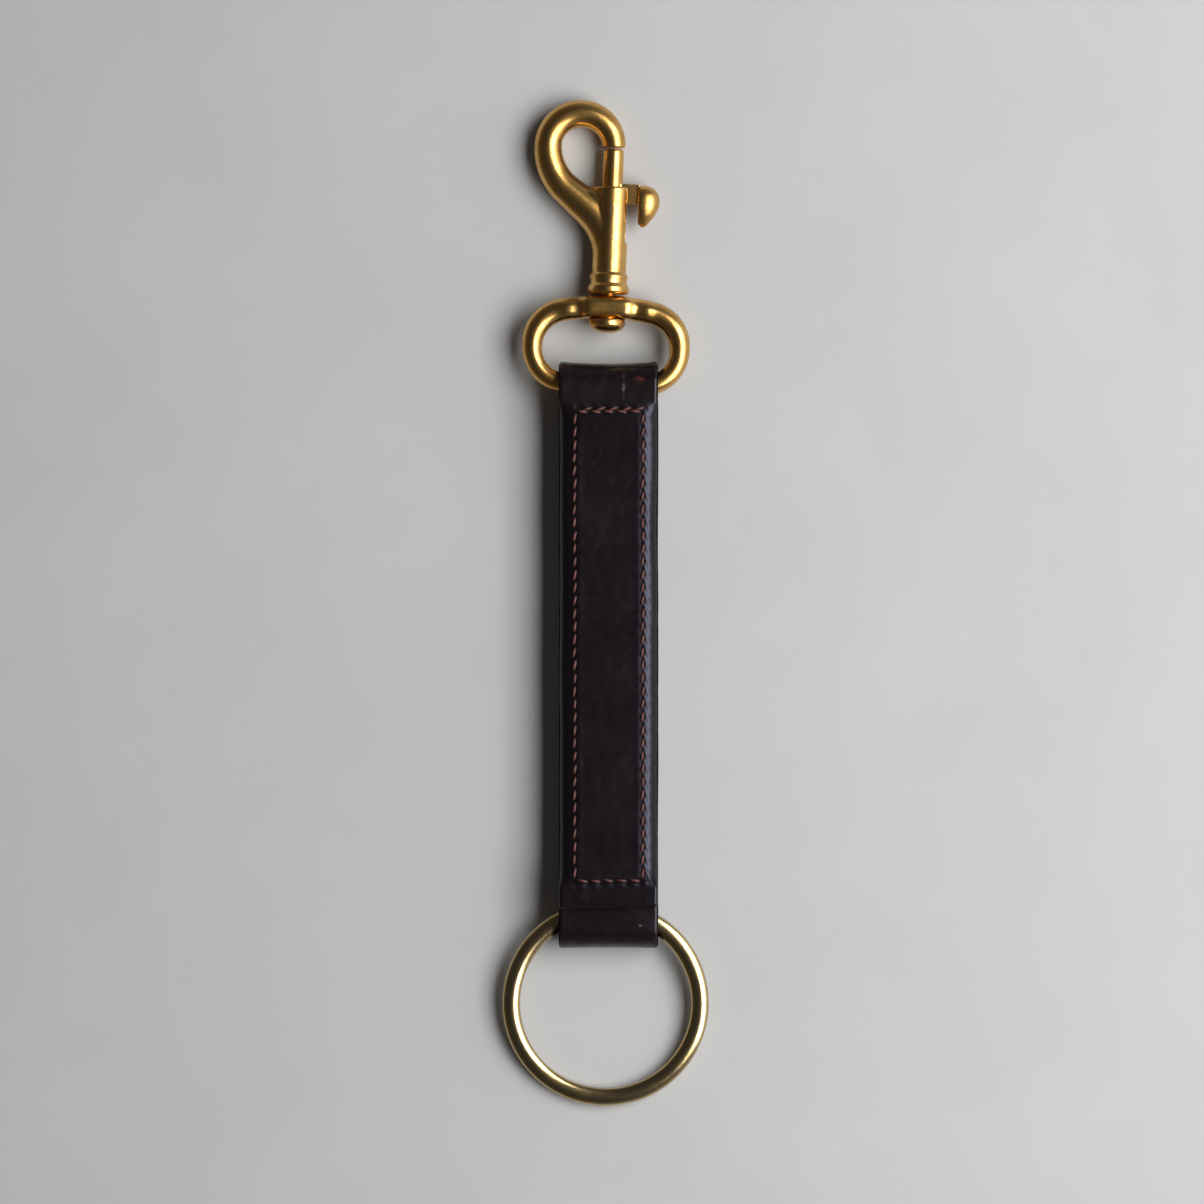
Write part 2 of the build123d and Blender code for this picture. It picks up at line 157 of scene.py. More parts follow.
def roundBar(centres, sideways, upward, radii, sides, squeeze=1.0, power=1.0):
    # a round section carried along a line: centre + radius * (cos a * sideways + squeeze * sin a * upward),
    # squarer where the sine and cosine are raised to a power below one, closed at both ends with a fan
    angles = np.arange(sides) * tau / sides
    radii, squeeze, power = [
        np.broadcast_to(value, len(centres))[:, None] for value in (radii, squeeze, power)]
    level, height = [np.sign(wave) * np.abs(wave) ** power for wave in (np.cos(angles), np.sin(angles))]
    across = level[..., None] * sideways[:, None, :]
    rise = (height * squeeze)[..., None] * upward[:, None, :]
    points = (centres[:, None, :] + radii[..., None] * (across + rise)).reshape(-1, 3)
    return facingOut(np.concatenate([points, centres[[0, -1]]]), tubeFaces(len(centres), sides))


def turnedBar(stations, radii, sides=72):
    # a shape turned about the lengthways axis, from radii at stations along it
    count = len(stations)
    centres = np.stack([np.zeros(count), np.array(stations, float), np.zeros(count)], -1)
    sideways = np.tile((0.0, 0.0, 1.0), (count, 1))
    upward = np.tile((1.0, 0.0, 0.0), (count, 1))
    return roundBar(centres, sideways, upward, np.array(radii, float), sides)


def joinParts(parts):
    # several shells in one set of points and faces
    points, quads, fans, start = [], [], [], 0
    for partPoints, partFaces in parts:
        points.append(partPoints)
        for faces in partFaces:
            (quads if faces.shape[1] == 4 else fans).append(faces + start)
        start += len(partPoints)
    return np.concatenate(points), [np.concatenate(group) for group in (quads, fans) if group]


def boxPart(low, high):
    # the eight corners between a lowest and a highest one, and the six sides on them
    x, y, z = np.meshgrid(*[(low[k], high[k]) for k in range(3)], indexing="ij")
    points = np.stack([x.ravel(), y.ravel(), z.ravel()], -1).astype(float)
    faces = np.array([(0, 1, 3, 2), (4, 6, 7, 5), (0, 4, 5, 1), (2, 3, 7, 6), (0, 2, 6, 4), (1, 5, 7, 3)])
    return facingOut(points, [faces])


def settle(piece, **modifiers):
    # put the modifiers' result into the piece's own mesh
    for kind, settings in modifiers.items():
        modifier = piece.modifiers.new(kind, kind)
        for key, value in settings.items():
            setattr(modifier, key, value)
    bpy.context.view_layer.update()
    result = bpy.data.meshes.new_from_object(piece.evaluated_get(bpy.context.evaluated_depsgraph_get()))
    piece.modifiers.clear()
    piece.data = result
    return piece


def standingOut(mesh, size):
    # how far each vertex stands out from the mean of its neighbours, along its normal, then evened out
    count = len(mesh.vertices)
    spots = np.empty(count * 3, np.float32)
    normals = np.empty(count * 3, np.float32)
    ends = np.empty(len(mesh.edges) * 2, np.int32)
    mesh.vertices.foreach_get("co", spots)
    mesh.vertices.foreach_get("normal", normals)
    mesh.edges.foreach_get("vertices", ends)
    spots, normals, ends = spots.reshape(-1, 3), normals.reshape(-1, 3), ends.reshape(-1, 2)
    around = np.bincount(ends.ravel(), minlength=count).clip(1)

    def evened(values):
        total = np.bincount(ends[:, 0], values[ends[:, 1]], count)
        total += np.bincount(ends[:, 1], values[ends[:, 0]], count)
        return total / around

    mean = np.stack([evened(spots[:, k]) for k in range(3)], -1)
    height = ((spots - mean) * normals).sum(1) / size
    for _ in range(10):
        height = 0.4 * height + 0.6 * evened(height)
    return height


def markEdges(piece, size):
    # edges that hands rub come out above 0 and hollows below it
    markPoints(piece, "standOut", standingOut(piece.data, size))


def castPiece(name, parts, place, cutters=(), grain=0.16, softening=5):
    # shells melted together as in one casting, cut, and softened as if tumbled
    fuse = {"mode": "VOXEL", "voxel_size": grain * mm, "adaptivity": 0.0}
    points, faces = joinParts(parts)
    piece = settle(makePiece(name, placed(points, place), faces), REMESH=fuse)
    for points, faces in cutters:
        cutter = makePiece(name + "Cutter", placed(points, place), faces)
        settle(piece, BOOLEAN={"operation": "DIFFERENCE", "object": cutter, "solver": "EXACT"})
        bpy.data.objects.remove(cutter)
    if cutters:
        settle(piece, REMESH=fuse)
    settle(piece, SMOOTH={"factor": 0.5, "iterations": softening})
    piece.data.polygons.foreach_set("use_smooth", np.ones(len(piece.data.polygons), bool))
    markEdges(piece, grain * mm)
    return piece


def finished(piece, body, material, node):
    # the finish, the body it moves with and the solid it stands for
    piece.data.materials.clear()
    piece.data.materials.append(material)
    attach(piece, body)
    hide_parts(node)
    print(piece.name, "made,", len(piece.data.polygons), "faces")


def connect(tree, node, links):
    # a socket among the values is linked, anything else is set
    for socket, value in links.items():
        if isinstance(value, bpy.types.NodeSocket):
            tree.links.new(value, node.inputs[socket])
        else:
            node.inputs[socket].default_value = value


def addNode(tree, kind, links=None, **settings):
    node = tree.nodes.new(kind)
    for key, value in settings.items():
        setattr(node, key, value)
    connect(tree, node, links or {})
    return node


def newGroup(name, inputs, outputs):
    tree = bpy.data.node_groups.new(name, "ShaderNodeTree")
    kinds = {"value": "NodeSocketFloat", "colour": "NodeSocketColor", "vector": "NodeSocketVector"}
    for label, kind, start in inputs:
        socket = tree.interface.new_socket(name=label, in_out="INPUT", socket_type=kinds[kind])
        if start is not None:
            socket.default_value = start
    for label, kind in outputs:
        tree.interface.new_socket(name=label, in_out="OUTPUT", socket_type=kinds[kind])
    return tree, tree.nodes.new("NodeGroupInput").outputs, tree.nodes.new("NodeGroupOutput")


def mapped(tree, value, low, high, toLow=0.0, toHigh=1.0, smooth=False):
    kind = "SMOOTHSTEP" if smooth else "LINEAR"
    links = {"Value": value, "From Min": low, "From Max": high, "To Min": toLow, "To Max": toHigh}
    return addNode(tree, "ShaderNodeMapRange", links, interpolation_type=kind).outputs["Result"]


def combine(tree, operation, first, second=0.0):
    return addNode(tree, "ShaderNodeMath", {0: first, 1: second}, operation=operation).outputs[0]


def blendColour(tree, share, first, second):
    # the Mix node keeps its colours in sockets 6 and 7 and puts the mixed one out of socket 2
    return addNode(tree, "ShaderNodeMix", {0: share, 6: first, 7: second}, data_type="RGBA").outputs[2]


def readMark(tree, name):
    return addNode(tree, "ShaderNodeAttribute", attribute_name=name).outputs["Fac"]


def noiseAt(tree, where, scale, detail=3.0, rough=0.5, stretch=None):
    if stretch:
        where = addNode(tree, "ShaderNodeMapping", {"Vector": where, "Scale": stretch}).outputs["Vector"]
    links = {"Vector": where, "Scale": scale, "Detail": detail, "Roughness": rough}
    return addNode(tree, "ShaderNodeTexNoise", links).outputs["Fac"]


def makeMottle():
    # slow and quick patches of light and dark, from 0 to 1
    tree, given, result = newGroup(
        "handledPatches",
        [("Where", "vector", None), ("Size", "value", 150.0), ("Contrast", "value", 0.3)],
        [("Patches", "value")])
    slow = noiseAt(tree, given["Where"], given["Size"], 4.0, 0.6)
    half = combine(tree, "MULTIPLY", given["Contrast"], 0.5)
    low = combine(tree, "SUBTRACT", 0.5, half)
    high = combine(tree, "ADD", 0.5, half)
    tree.links.new(mapped(tree, slow, low, high), result.inputs["Patches"])
    return tree


def makeScratches():
    # thin lines in two directions, broken up by a slower pattern, from 0 to 1
    tree, given, result = newGroup(
        "fineScratches",
        [("Where", "vector", None), ("Size", "value", 900.0), ("Amount", "value", 0.5)],
        [("Lines", "value")])
    lines = []
    for turn, stretch in ((0.5, (1.0, 0.06, 0.3)), (2.1, (0.07, 1.0, 0.3))):
        turning = {"Vector": given["Where"], "Rotation": (0.2, 0.1, turn)}
        turned = addNode(tree, "ShaderNodeMapping", turning).outputs["Vector"]
        streak = noiseAt(tree, turned, given["Size"], 2.0, 0.5, stretch)
        lines.append(mapped(tree, streak, 0.62, 0.72))
    both = combine(tree, "MAXIMUM", *lines)
    slow = noiseAt(tree, given["Where"], 260.0, 2.0)
    patchy = combine(tree, "MULTIPLY", both, mapped(tree, slow, 0.4, 0.65))
    tree.links.new(combine(tree, "MULTIPLY", patchy, given["Amount"]), result.inputs["Lines"])
    return tree


def makeGrain():
    # fine relief made into a normal
    tree, given, result = newGroup(
        "fineGrain",
        [("Where", "vector", None), ("Size", "value", 2500.0),
         ("Depth", "value", 0.00002), ("Lines", "value", 0.0)],
        [("Normal", "vector")])
    fine = noiseAt(tree, given["Where"], given["Size"], 3.0, 0.6)
    coarse = noiseAt(tree, given["Where"], combine(tree, "MULTIPLY", given["Size"], 0.22), 2.0)
    fine, coarse = combine(tree, "MULTIPLY", fine, 0.5), combine(tree, "MULTIPLY", coarse, 0.7)
    relief = combine(tree, "ADD", fine, coarse)
    relief = combine(tree, "SUBTRACT", relief, combine(tree, "MULTIPLY", given["Lines"], 0.5))
    bump = addNode(tree, "ShaderNodeBump", {"Strength": 1.0, "Distance": given["Depth"], "Height": relief})
    tree.links.new(bump.outputs["Normal"], result.inputs["Normal"])
    return tree


effects = {"patches": makeMottle(), "scratches": makeScratches(), "grain": makeGrain()}


def useEffect(tree, name, links):
    return addNode(tree, "ShaderNodeGroup", links, node_tree=effects[name]).outputs


def newMaterial(name):
    material = bpy.data.materials.new(name)
    material.use_nodes = True
    tree = material.node_tree
    shader = tree.nodes["Principled BSDF"]
    where = tree.nodes.new("ShaderNodeTexCoord").outputs["Object"]
    return material, tree, shader, where


def toShader(tree, shader, **values):
    connect(tree, shader, {socket.replace("_", " "): value for socket, value in values.items()})


def makeBrass(name, look):
    # brass that is darker and duller in its hollows and brighter where hands rub it
    material, tree, shader, where = newMaterial(name)
    mottling = {"Where": where, "Size": look["patchSize"], "Contrast": 0.35}
    patches = useEffect(tree, "patches", mottling)["Patches"]
    scratching = {"Where": where, "Size": look["scratchSize"], "Amount": look["scratches"]}
    lines = useEffect(tree, "scratches", scratching)["Lines"]
    graining = {"Where": where, "Size": look["grainSize"], "Depth": look["grainDepth"], "Lines": lines}
    grain = useEffect(tree, "grain", graining)
    standOut = readMark(tree, "standOut")
    hollow = mapped(tree, standOut, *look["hollow"], 1.0, 0.0, smooth=True)
    rubbed = mapped(tree, standOut, *look["rubbed"], 0.0, 1.0, smooth=True)
    colour = blendColour(tree, patches, look["colour"], look["aged"])
    colour = blendColour(tree, hollow, colour, look["darkened"])
    colour = blendColour(tree, rubbed, colour, look["bright"])
    rough = mapped(tree, patches, 0.0, 1.0, *look["roughness"])
    rough = combine(tree, "ADD", rough, combine(tree, "MULTIPLY", hollow, 0.2))
    rough = combine(tree, "SUBTRACT", rough, combine(tree, "MULTIPLY", rubbed, 0.06))
    toShader(tree, shader, Base_Color=colour, Metallic=1.0, Roughness=rough, Normal=grain["Normal"])
    return material


castLook = {
    "colour": (0.74, 0.465, 0.155, 1), "aged": (0.60, 0.33, 0.09, 1),
    "darkened": (0.16, 0.075, 0.027, 1), "bright": (0.84, 0.60, 0.26, 1),
    "roughness": (0.24, 0.30), "patchSize": 320.0, "scratchSize": 1400.0, "scratches": 0.2,
    "grainSize": 2600.0, "grainDepth": 0.000005, "hollow": (-0.16, -0.05), "rubbed": (0.06, 0.2),
}
ringLook = {
    "colour": (0.62, 0.48, 0.26, 1), "aged": (0.52, 0.38, 0.18, 1),
    "darkened": (0.20, 0.13, 0.06, 1), "bright": (0.70, 0.60, 0.38, 1),
    "roughness": (0.17, 0.23), "patchSize": 260.0, "scratchSize": 1100.0, "scratches": 0.5,
    "grainSize": 2400.0, "grainDepth": 0.000006, "hollow": (-0.3, -0.1), "rubbed": (0.15, 0.4),
}
castBrass = makeBrass("satinCastBrass", castLook)
ringBrass = makeBrass("polishedRingBrass", ringLook)
print("brass ready")


# the leather strap: one section carried along its folded path, lengths in millimetres
strap = {
    "width": 19.0, "thickness": 2.2, "layerGap": 0.08, "lift": 3.3, "cornerRound": 0.62, "innerRound": 0.22,
    "eyeFold": 4.7, "ringFold": 4.5, "eyeAxis": 51.85, "ringAxis": -52.05, "ringBend": -47.078,
    "eyeBend": 50.55, "butt": -48.6, "middleEnd": 48.85, "backBend": 6.3, "frontBend": 16.0,
    "mouthFlare": 1.15, "mouthDepth": 5.8, "mouthReach": (1.5, 6.0), "foldThinning": 0.2,
    "eyeSag": 0.42, "ringSag": 0.16, "wrinkles": 0.02, "buttSkew": 0.03, "endRound": 0.55,
    "edgeWander": 0.07, "edgeBulge": 0.05, "slowDents": 0.045, "smallDents": 0.012,
    "stitchSide": 6.55, "stitchTop": 46.9, "stitchBottom": -43.4, "stitchPitch": 2.5,
    "grooveDepth": 0.06, "grooveWidth": 0.5, "pucker": 0.2, "scallop": 0.10, "lip": 0.03,
    "marginSlope": 0.26, "marginStart": 0.35, "marginBow": 0.27,
    "fineSpacing": 0.42, "foldSpacing": 0.33, "middleSpacing": 0.8, "hiddenSpacing": 2.0, "buttSpacing": 0.25,
}
eyeFoldRun, ringFoldRun = 4, 12   # the places of the two folds among the strap's runs
lowCorner, highCorner = (np.array(corner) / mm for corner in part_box("strap"))
strapMiddle = [(lowCorner[0] + highCorner[0]) / 2, (lowCorner[1] + highCorner[1]) / 2, lowCorner[2]]
strapPlace = (np.array(strapMiddle) * mm, np.eye(3))


def onFront(run):
    return run < eyeFoldRun


def onBack(run):
    return (run > eyeFoldRun) & (run < ringFoldRun)


def stepOver(height, radiusSum):
    # the turn, and the length it takes, of two equal and opposite bends that together rise this much
    turn = acos(1 - height / radiusSum)
    return np.degrees(turn), radiusSum * sin(turn)


def strapRuns():
    # the outer surface's runs in order: bend radius (0 is straight), length or degrees, and spacing of points
    s = strap
    pitch = s["thickness"] + s["layerGap"]
    front = s["lift"] + 3 * s["thickness"] + 2 * s["layerGap"]
    rise = 2 * s["ringFold"] - (s["lift"] + 2 * s["thickness"] + s["layerGap"])
    drop = s["lift"] - (front - 2 * s["eyeFold"])
    frontTurn, frontLength = stepOver(rise, 2 * s["frontBend"] + pitch)
    eyeTurn, eyeLength = stepOver(drop, 2 * s["backBend"])
    ringTurn, ringLength = stepOver(s["lift"], 2 * s["backBend"])
    fine, fold, middle, hidden = s["fineSpacing"], s["foldSpacing"], s["middleSpacing"], s["hiddenSpacing"]
    frontFlat = s["ringBend"] + frontLength
    runs = [
        (0, s["ringBend"] - s["butt"], s["buttSpacing"]), (s["frontBend"] + pitch, -frontTurn, fine),
        (s["frontBend"], frontTurn, fine), (0, s["eyeAxis"] - frontFlat, fine),
        (s["eyeFold"], -180, fold),
        (0, s["eyeAxis"] - s["eyeBend"], fine),
        (s["backBend"], -eyeTurn, fold), (s["backBend"], eyeTurn, fold),
        (0, s["eyeBend"] - eyeLength - s["ringBend"] - ringLength, fine),
        (s["backBend"], ringTurn, fold), (s["backBend"], -ringTurn, fold),
        (0, s["ringBend"] - s["ringAxis"], fine),
        (s["ringFold"], -180, fold),
        (0, s["ringBend"] - s["ringAxis"], fine), (s["frontBend"], -frontTurn, middle),
        (s["frontBend"] + pitch, frontTurn, middle), (0, s["middleEnd"] - frontFlat, hidden),
    ]
    return (s["butt"], front + rise), runs


def walkPath(start, heading, runs):
    # straight runs and arcs joined end to end, each with its radius (0 is straight), its length or degrees
    # and the spacing of its points: spot + length * (cos h, sin h), or centre + radius * (sin h, -cos h) as
    # the heading h turns; gives each point's place, heading and run number
    spot = np.array(start, float)
    places, headings, numbers = [spot[None]], [[heading]], [[0]]
    for number, (radius, amount, spacing) in enumerate(runs):
        length = abs(amount) if radius == 0 else radius * radians(abs(amount))
        share = np.linspace(0, 1, max(2, ceil(length / spacing)) + 1)[1:]
        if radius == 0:
            turns = np.full(len(share), heading)
            points = spot + (share * length)[:, None] * np.array([cos(heading), sin(heading)])
        else:
            side = np.sign(amount)
            centre = spot + side * radius * np.array([-sin(heading), cos(heading)])
            turns = heading + share * radians(amount)
            points = centre + side * radius * np.stack([np.sin(turns), -np.cos(turns)], -1)
        places.append(points)
        headings.append(turns)
        numbers.append(np.full(len(share), number))
        spot, heading = points[-1], turns[-1]
    return np.concatenate(places), np.concatenate(headings), np.concatenate(numbers)


def easeStep(value, low, high):
    # 3t^2 - 2t^3, from 0 at low to 1 at high
    share = np.clip((value - low) / (high - low), 0, 1)
    return share * share * (3 - 2 * share)


def slowWaves(first, second, lengths, seed):
    # a sum of crossing sine waves of these lengths, each turned and shifted at random, from about -1 to 1
    draw = np.random.default_rng(seed)
    total = 0
    for length in lengths:
        for _ in range(3):
            turn, shift = draw.uniform(0, tau, 2)
            total = total + length * np.sin((first * cos(turn) + second * sin(turn)) * tau / length + shift)
    return total / (1.6 * sum(lengths))


def stitchGap(x, y):
    # distance outside (+) or inside (-) the stitched rectangle
    top, bottom = strap["stitchTop"], strap["stitchBottom"]
    overX = np.abs(x) - strap["stitchSide"]
    overY = np.abs(y - (top + bottom) / 2) - (top - bottom) / 2
    outside = np.hypot(np.maximum(overX, 0), np.maximum(overY, 0))
    return outside + np.minimum(np.maximum(overX, overY), 0)


def faceRelief(x, y, face):
    # how far the leather's face stands out, from the distance g outside the stitches: a groove -exp(-g^2)
    # that puckers at each stitch, a low lip inside it, scallops outside it, margins that slope down and then
    # bow, and slow dents; face is 0 on the front and 1 on the back
    s = strap
    gap = stitchGap(x, y)
    eachStitch = np.sin(tau * (y + x) / s["stitchPitch"])
    groove = -s["grooveDepth"] * np.exp(-(gap / s["grooveWidth"]) ** 2)
    pucker = 1 + s["pucker"] * eachStitch
    lip = s["lip"] * np.exp(-((gap + 0.95) / 0.55) ** 2)
    stitched = easeStep(y, s["stitchBottom"] - 2.2, s["stitchBottom"] + 2.5)
    stitched *= 1 - easeStep(y, s["stitchTop"] - 1.0, s["stitchTop"] + 2.2)
    over = np.maximum(np.abs(x) - s["stitchSide"] - s["marginStart"], 0)
    margin = -(s["marginSlope"] * over + s["marginBow"] * np.maximum(over - 0.6, 0) ** 2) * stitched
    scallop = s["scallop"] * eachStitch * np.exp(-((gap - 0.75) / 0.4) ** 2)
    dents = s["slowDents"] * slowWaves(x, y, (34.0, 19.0, 11.0), 5 + face)
    dents = dents + s["smallDents"] * slowWaves(x, y, (5.0, 3.1), 9 + face)
    return groove * pucker + lip + margin + scallop + dents


def makeStrap():
    # at each point of the path the section is laid inwards: path - outward * depth, where the depth goes from
    # the outer face's relief to the thickness across the section
    s = strap
    start, runs = strapRuns()
    path, heading, run = walkPath(start, 0.0, runs)
    outward = np.stack([-np.sin(heading), np.cos(heading)], -1)
    length = np.concatenate([[0], np.cumsum(np.hypot(*np.diff(path, axis=0).T))])

    # the section, as sideways place, share of the thickness and inset: outer face, edge, inner face, edge
    half = s["width"] / 2
    outerTurn, innerTurn = np.linspace(0, pi / 2, 7), np.linspace(0, pi / 2, 4)
    outerX = half - s["cornerRound"] * (1 - np.sin(outerTurn))
    innerX = half - s["innerRound"] * (1 - np.cos(innerTurn))
    outerIn, innerIn = s["cornerRound"] * (1 - np.cos(outerTurn)), s["innerRound"] * (1 - np.sin(innerTurn))
    outerFlat = np.linspace(-outerX[0], outerX[0], 66)[1:-1]
    innerFlat = np.linspace(innerX[-1], -innerX[-1], 18)[1:-1]
    edgeX, edgeDown = np.full(3, half), np.array([0.25, 0.5, 0.75])
    section = [
        (outerFlat, 0, 0), (outerX, 0, outerIn), (edgeX, edgeDown, 0), (innerX, 1, innerIn),
        (innerFlat, 1, 0),
        (-innerX[::-1], 1, innerIn[::-1]), (-edgeX, edgeDown[::-1], 0), (-outerX[::-1], 0, outerIn[::-1]),
    ]
    x, share, inset = np.concatenate([np.stack(np.broadcast_arrays(*stretch)) for stretch in section], 1)

    sx, sy = x[None, :], path[:, :1]
    front, back = onFront(run)[:, None], onBack(run)[:, None]
    relief = np.where(front, faceRelief(sx, sy, 0), np.where(back, faceRelief(sx, sy, 1), 0.0))
    nearFold = np.zeros(len(run))
    for number, sag, turnsBefore in ((eyeFoldRun, s["eyeSag"], 0), (ringFoldRun, s["ringSag"], 1)):
        # each fold sags between its edges, wrinkles a little and thins towards its middle
        inFold = run == number
        turn = np.clip(-heading / pi - turnsBefore, 0, 1)
        bowl = -sag * np.sin(pi * turn)[:, None] ** 2 * (1 - (sx / half) ** 2)
        relief = relief + np.where(inFold[:, None], bowl, 0.0)
        wrinkles = s["wrinkles"] * slowWaves(sx, length[:, None], (3.4, 2.1), 30 + number)
        relief = relief + np.where(inFold[:, None], wrinkles, 0.0)
        first, last = length[inFold][[0, -1]]
        reach = np.maximum(np.maximum(first - length, length - last), 0)
        nearFold = np.maximum(nearFold, 1 - easeStep(reach, *s["mouthReach"]))

    # the two cut ends are rounded over, and the folds open a little at their mouths
    fromEnd = np.minimum(length, length[-1] - length)
    over = np.clip(s["endRound"] - fromEnd, 0, s["endRound"])
    endInset = (s["endRound"] - np.sqrt(np.maximum(s["endRound"] ** 2 - over ** 2, 0)))[:, None]
    mouth = np.clip((np.abs(sx) - (half - s["mouthDepth"])) / s["mouthDepth"], 0, 1)
    thick = s["thickness"] - (s["foldThinning"] + s["mouthFlare"] * mouth) * nearFold[:, None]
    depth = (1 - share) * (inset - relief + endInset) + share * (thick - inset - 0.4 * endInset)

    # the edges bulge at their middle and wander a little along the strap
    edge = 4 * share * (1 - share)
    edgeWaves = slowWaves(length[:, None], np.sign(sx) * 40 + 4 * share, (23.0, 9.0, 4.1), 61)
    nearEdge = np.sign(sx) * (np.abs(sx) > half - 1.2)
    x = sx + nearEdge * (s["edgeWander"] * edgeWaves + s["edgeBulge"] * edge)
    y = path[:, :1] - outward[:, :1] * depth
    z = path[:, 1:] - outward[:, 1:] * depth
    y = y + s["buttSkew"] * x * (1 - easeStep(length, 0.6, 9.0))[:, None]
    points = np.stack([x, y, z], -1)
    everything = placed(np.concatenate([points.reshape(-1, 3), points[[0, -1]].mean(1)]), strapPlace)
    piece = makePiece("strapLeather", *facingOut(everything, tubeFaces(*depth.shape)))

    marks = {
        "edgeShare": edge,
        "foldShare": nearFold[:, None],
        "stitchGap": np.where((front | back) & (share[None, :] < 0.1), stitchGap(sx, sy), 9.0),
    }
    for label, values in marks.items():
        markPoints(piece, label, np.append(np.broadcast_to(values, depth.shape), [1.0, 1.0]))
    return piece, path, run


leatherLook = {
    "colour": (0.0050, 0.0038, 0.0046, 1), "warm": (0.012, 0.0062, 0.0062, 1),
    "edge": (0.005, 0.0035, 0.004, 1), "pressed": (0.003, 0.002, 0.002, 1),
    "paintedBlueSheen": (0.76, 0.78, 1.0, 1), "gloss": 0.44,
    "scuffed": (0.10, 0.066, 0.066, 1), "reddened": (0.10, 0.024, 0.022, 1), "roughness": (0.19, 0.27),
    "poreSize": 2300.0, "poreDepth": 0.00003,
    "scuffs": [(2.9, 51.7, 0.30, 2.3), (6.1, -52.1, 0.4, 0.25)], "redMarks": [(6.0, 53.0, 1.0, 0.55)],
}


def markSpots(tree, where, spots, broken):
    # a soft oval mark at each x and y with its half width and half height, on the front only and mottled
    parts = addNode(tree, "ShaderNodeSeparateXYZ", {"Vector": where}).outputs
    total = 0.0
    for x, y, wide, tall in spots:
        centre = strapPlace[0] + np.array([x, y, 0.0]) * mm
        offX = combine(tree, "DIVIDE", combine(tree, "SUBTRACT", parts["X"], float(centre[0])), wide * mm)
        offY = combine(tree, "DIVIDE", combine(tree, "SUBTRACT", parts["Y"], float(centre[1])), tall * mm)
        offX, offY = [combine(tree, "MULTIPLY", off, off) for off in (offX, offY)]
        far = combine(tree, "ADD", offX, offY)
        total = combine(tree, "ADD", total, mapped(tree, far, 0.0, 1.8, 0.9, 0.0, smooth=True))
    table = float(strapPlace[0][2])
    above = mapped(tree, parts["Z"], table + 5.0 * mm, table + 6.5 * mm)
    mottle = mapped(tree, broken, 0.35, 0.65, 0.1, 0.8)
    return combine(tree, "MULTIPLY", combine(tree, "MULTIPLY", total, above), mottle)


def makeLeather():
    # near-black, warmer in patches and at the folds, darker along the stitches, with a few scuffs, and a
    # painted blue tint in its reflections
    look = leatherLook
    material, tree, shader, where = newMaterial("darkBridleLeather")
    marks = {name: readMark(tree, name) for name in ("edgeShare", "foldShare", "stitchGap")}
    patches = useEffect(tree, "patches", {"Where": where, "Size": 90.0, "Contrast": 0.45})["Patches"]
    small = useEffect(tree, "patches", {"Where": where, "Size": 700.0, "Contrast": 0.4})["Patches"]
    lines = useEffect(tree, "scratches", {"Where": where, "Size": 800.0, "Amount": 0.5})["Lines"]
    graining = {"Where": where, "Size": look["poreSize"], "Depth": look["poreDepth"], "Lines": lines}
    grain = useEffect(tree, "grain", graining)
    warmth = combine(tree, "MULTIPLY", patches, 0.35)
    warmth = combine(tree, "ADD", warmth, combine(tree, "MULTIPLY", small, 0.2))
    warmth = combine(tree, "ADD", warmth, combine(tree, "MULTIPLY", marks["foldShare"], 0.4))
    colour = blendColour(tree, warmth, look["colour"], look["warm"])
    pressed = mapped(tree, combine(tree, "ABSOLUTE", marks["stitchGap"]), 0.15, 0.8, 0.8, 0.0, smooth=True)
    colour = blendColour(tree, pressed, colour, look["pressed"])
    colour = blendColour(tree, marks["edgeShare"], colour, look["edge"])
    scuffed = markSpots(tree, where, look["scuffs"], small)
    colour = blendColour(tree, scuffed, colour, look["scuffed"])
    colour = blendColour(tree, markSpots(tree, where, look["redMarks"], small), colour, look["reddened"])
    rough = mapped(tree, patches, 0.0, 1.0, *look["roughness"])
    rough = combine(tree, "ADD", rough, combine(tree, "MULTIPLY", scuffed, 0.3))
    rough = combine(tree, "ADD", rough, combine(tree, "MULTIPLY", small, 0.05))
    rough = combine(tree, "ADD", rough, combine(tree, "MULTIPLY", lines, 0.12))
    # the blue specular tint is painted reflection colour, standing in for cool window light
    toShader(tree, shader, Base_Color=colour, Roughness=rough, Normal=grain["Normal"], IOR=1.46,
             Specular_IOR_Level=look["gloss"], Specular_Tint=look["paintedBlueSheen"])
    return material


leather = makeLeather()
strapPiece, strapPath, strapRun = makeStrap()
finished(strapPiece, "strap", leather, "strap")


# the stitches: short slanted threads that rise from one hole and dive into the next
thread = {
    "length": 2.3, "width": 0.54, "height": 0.42, "slant": 9.0, "sides": 8, "steps": 9, "sink": 0.16,
    "above": 0.07, "turnSpread": 4.0, "shiftSpread": 0.07,
    "lengthSpread": (0.94, 1.05), "girthSpread": (0.92, 1.06),
    "doubled": 5, "doubledShift": (0.9, 0.45, 30.0),
}


def stitchSpots():
    # the middle of every stitch on one face and the turn of its row: two sides, then the two ends
    s, t = strap, thread
    length = s["stitchTop"] - s["stitchBottom"] - t["width"]
    sideCount, endCount = round(length / s["stitchPitch"]), round(2 * s["stitchSide"] / s["stitchPitch"])
    along = (np.arange(sideCount) + 0.5) / sideCount * length + s["stitchBottom"] + t["width"] / 2
    across = ((np.arange(endCount) + 0.5) / endCount - 0.5) * (2 * s["stitchSide"] - t["width"])
    rows = [(side * s["stitchSide"], along, 0) for side in (-1, 1)]
    rows += [(across, end, 90) for end in (s["stitchBottom"], s["stitchTop"])]
    return np.concatenate([np.stack(np.broadcast_arrays(*row), -1) for row in rows])


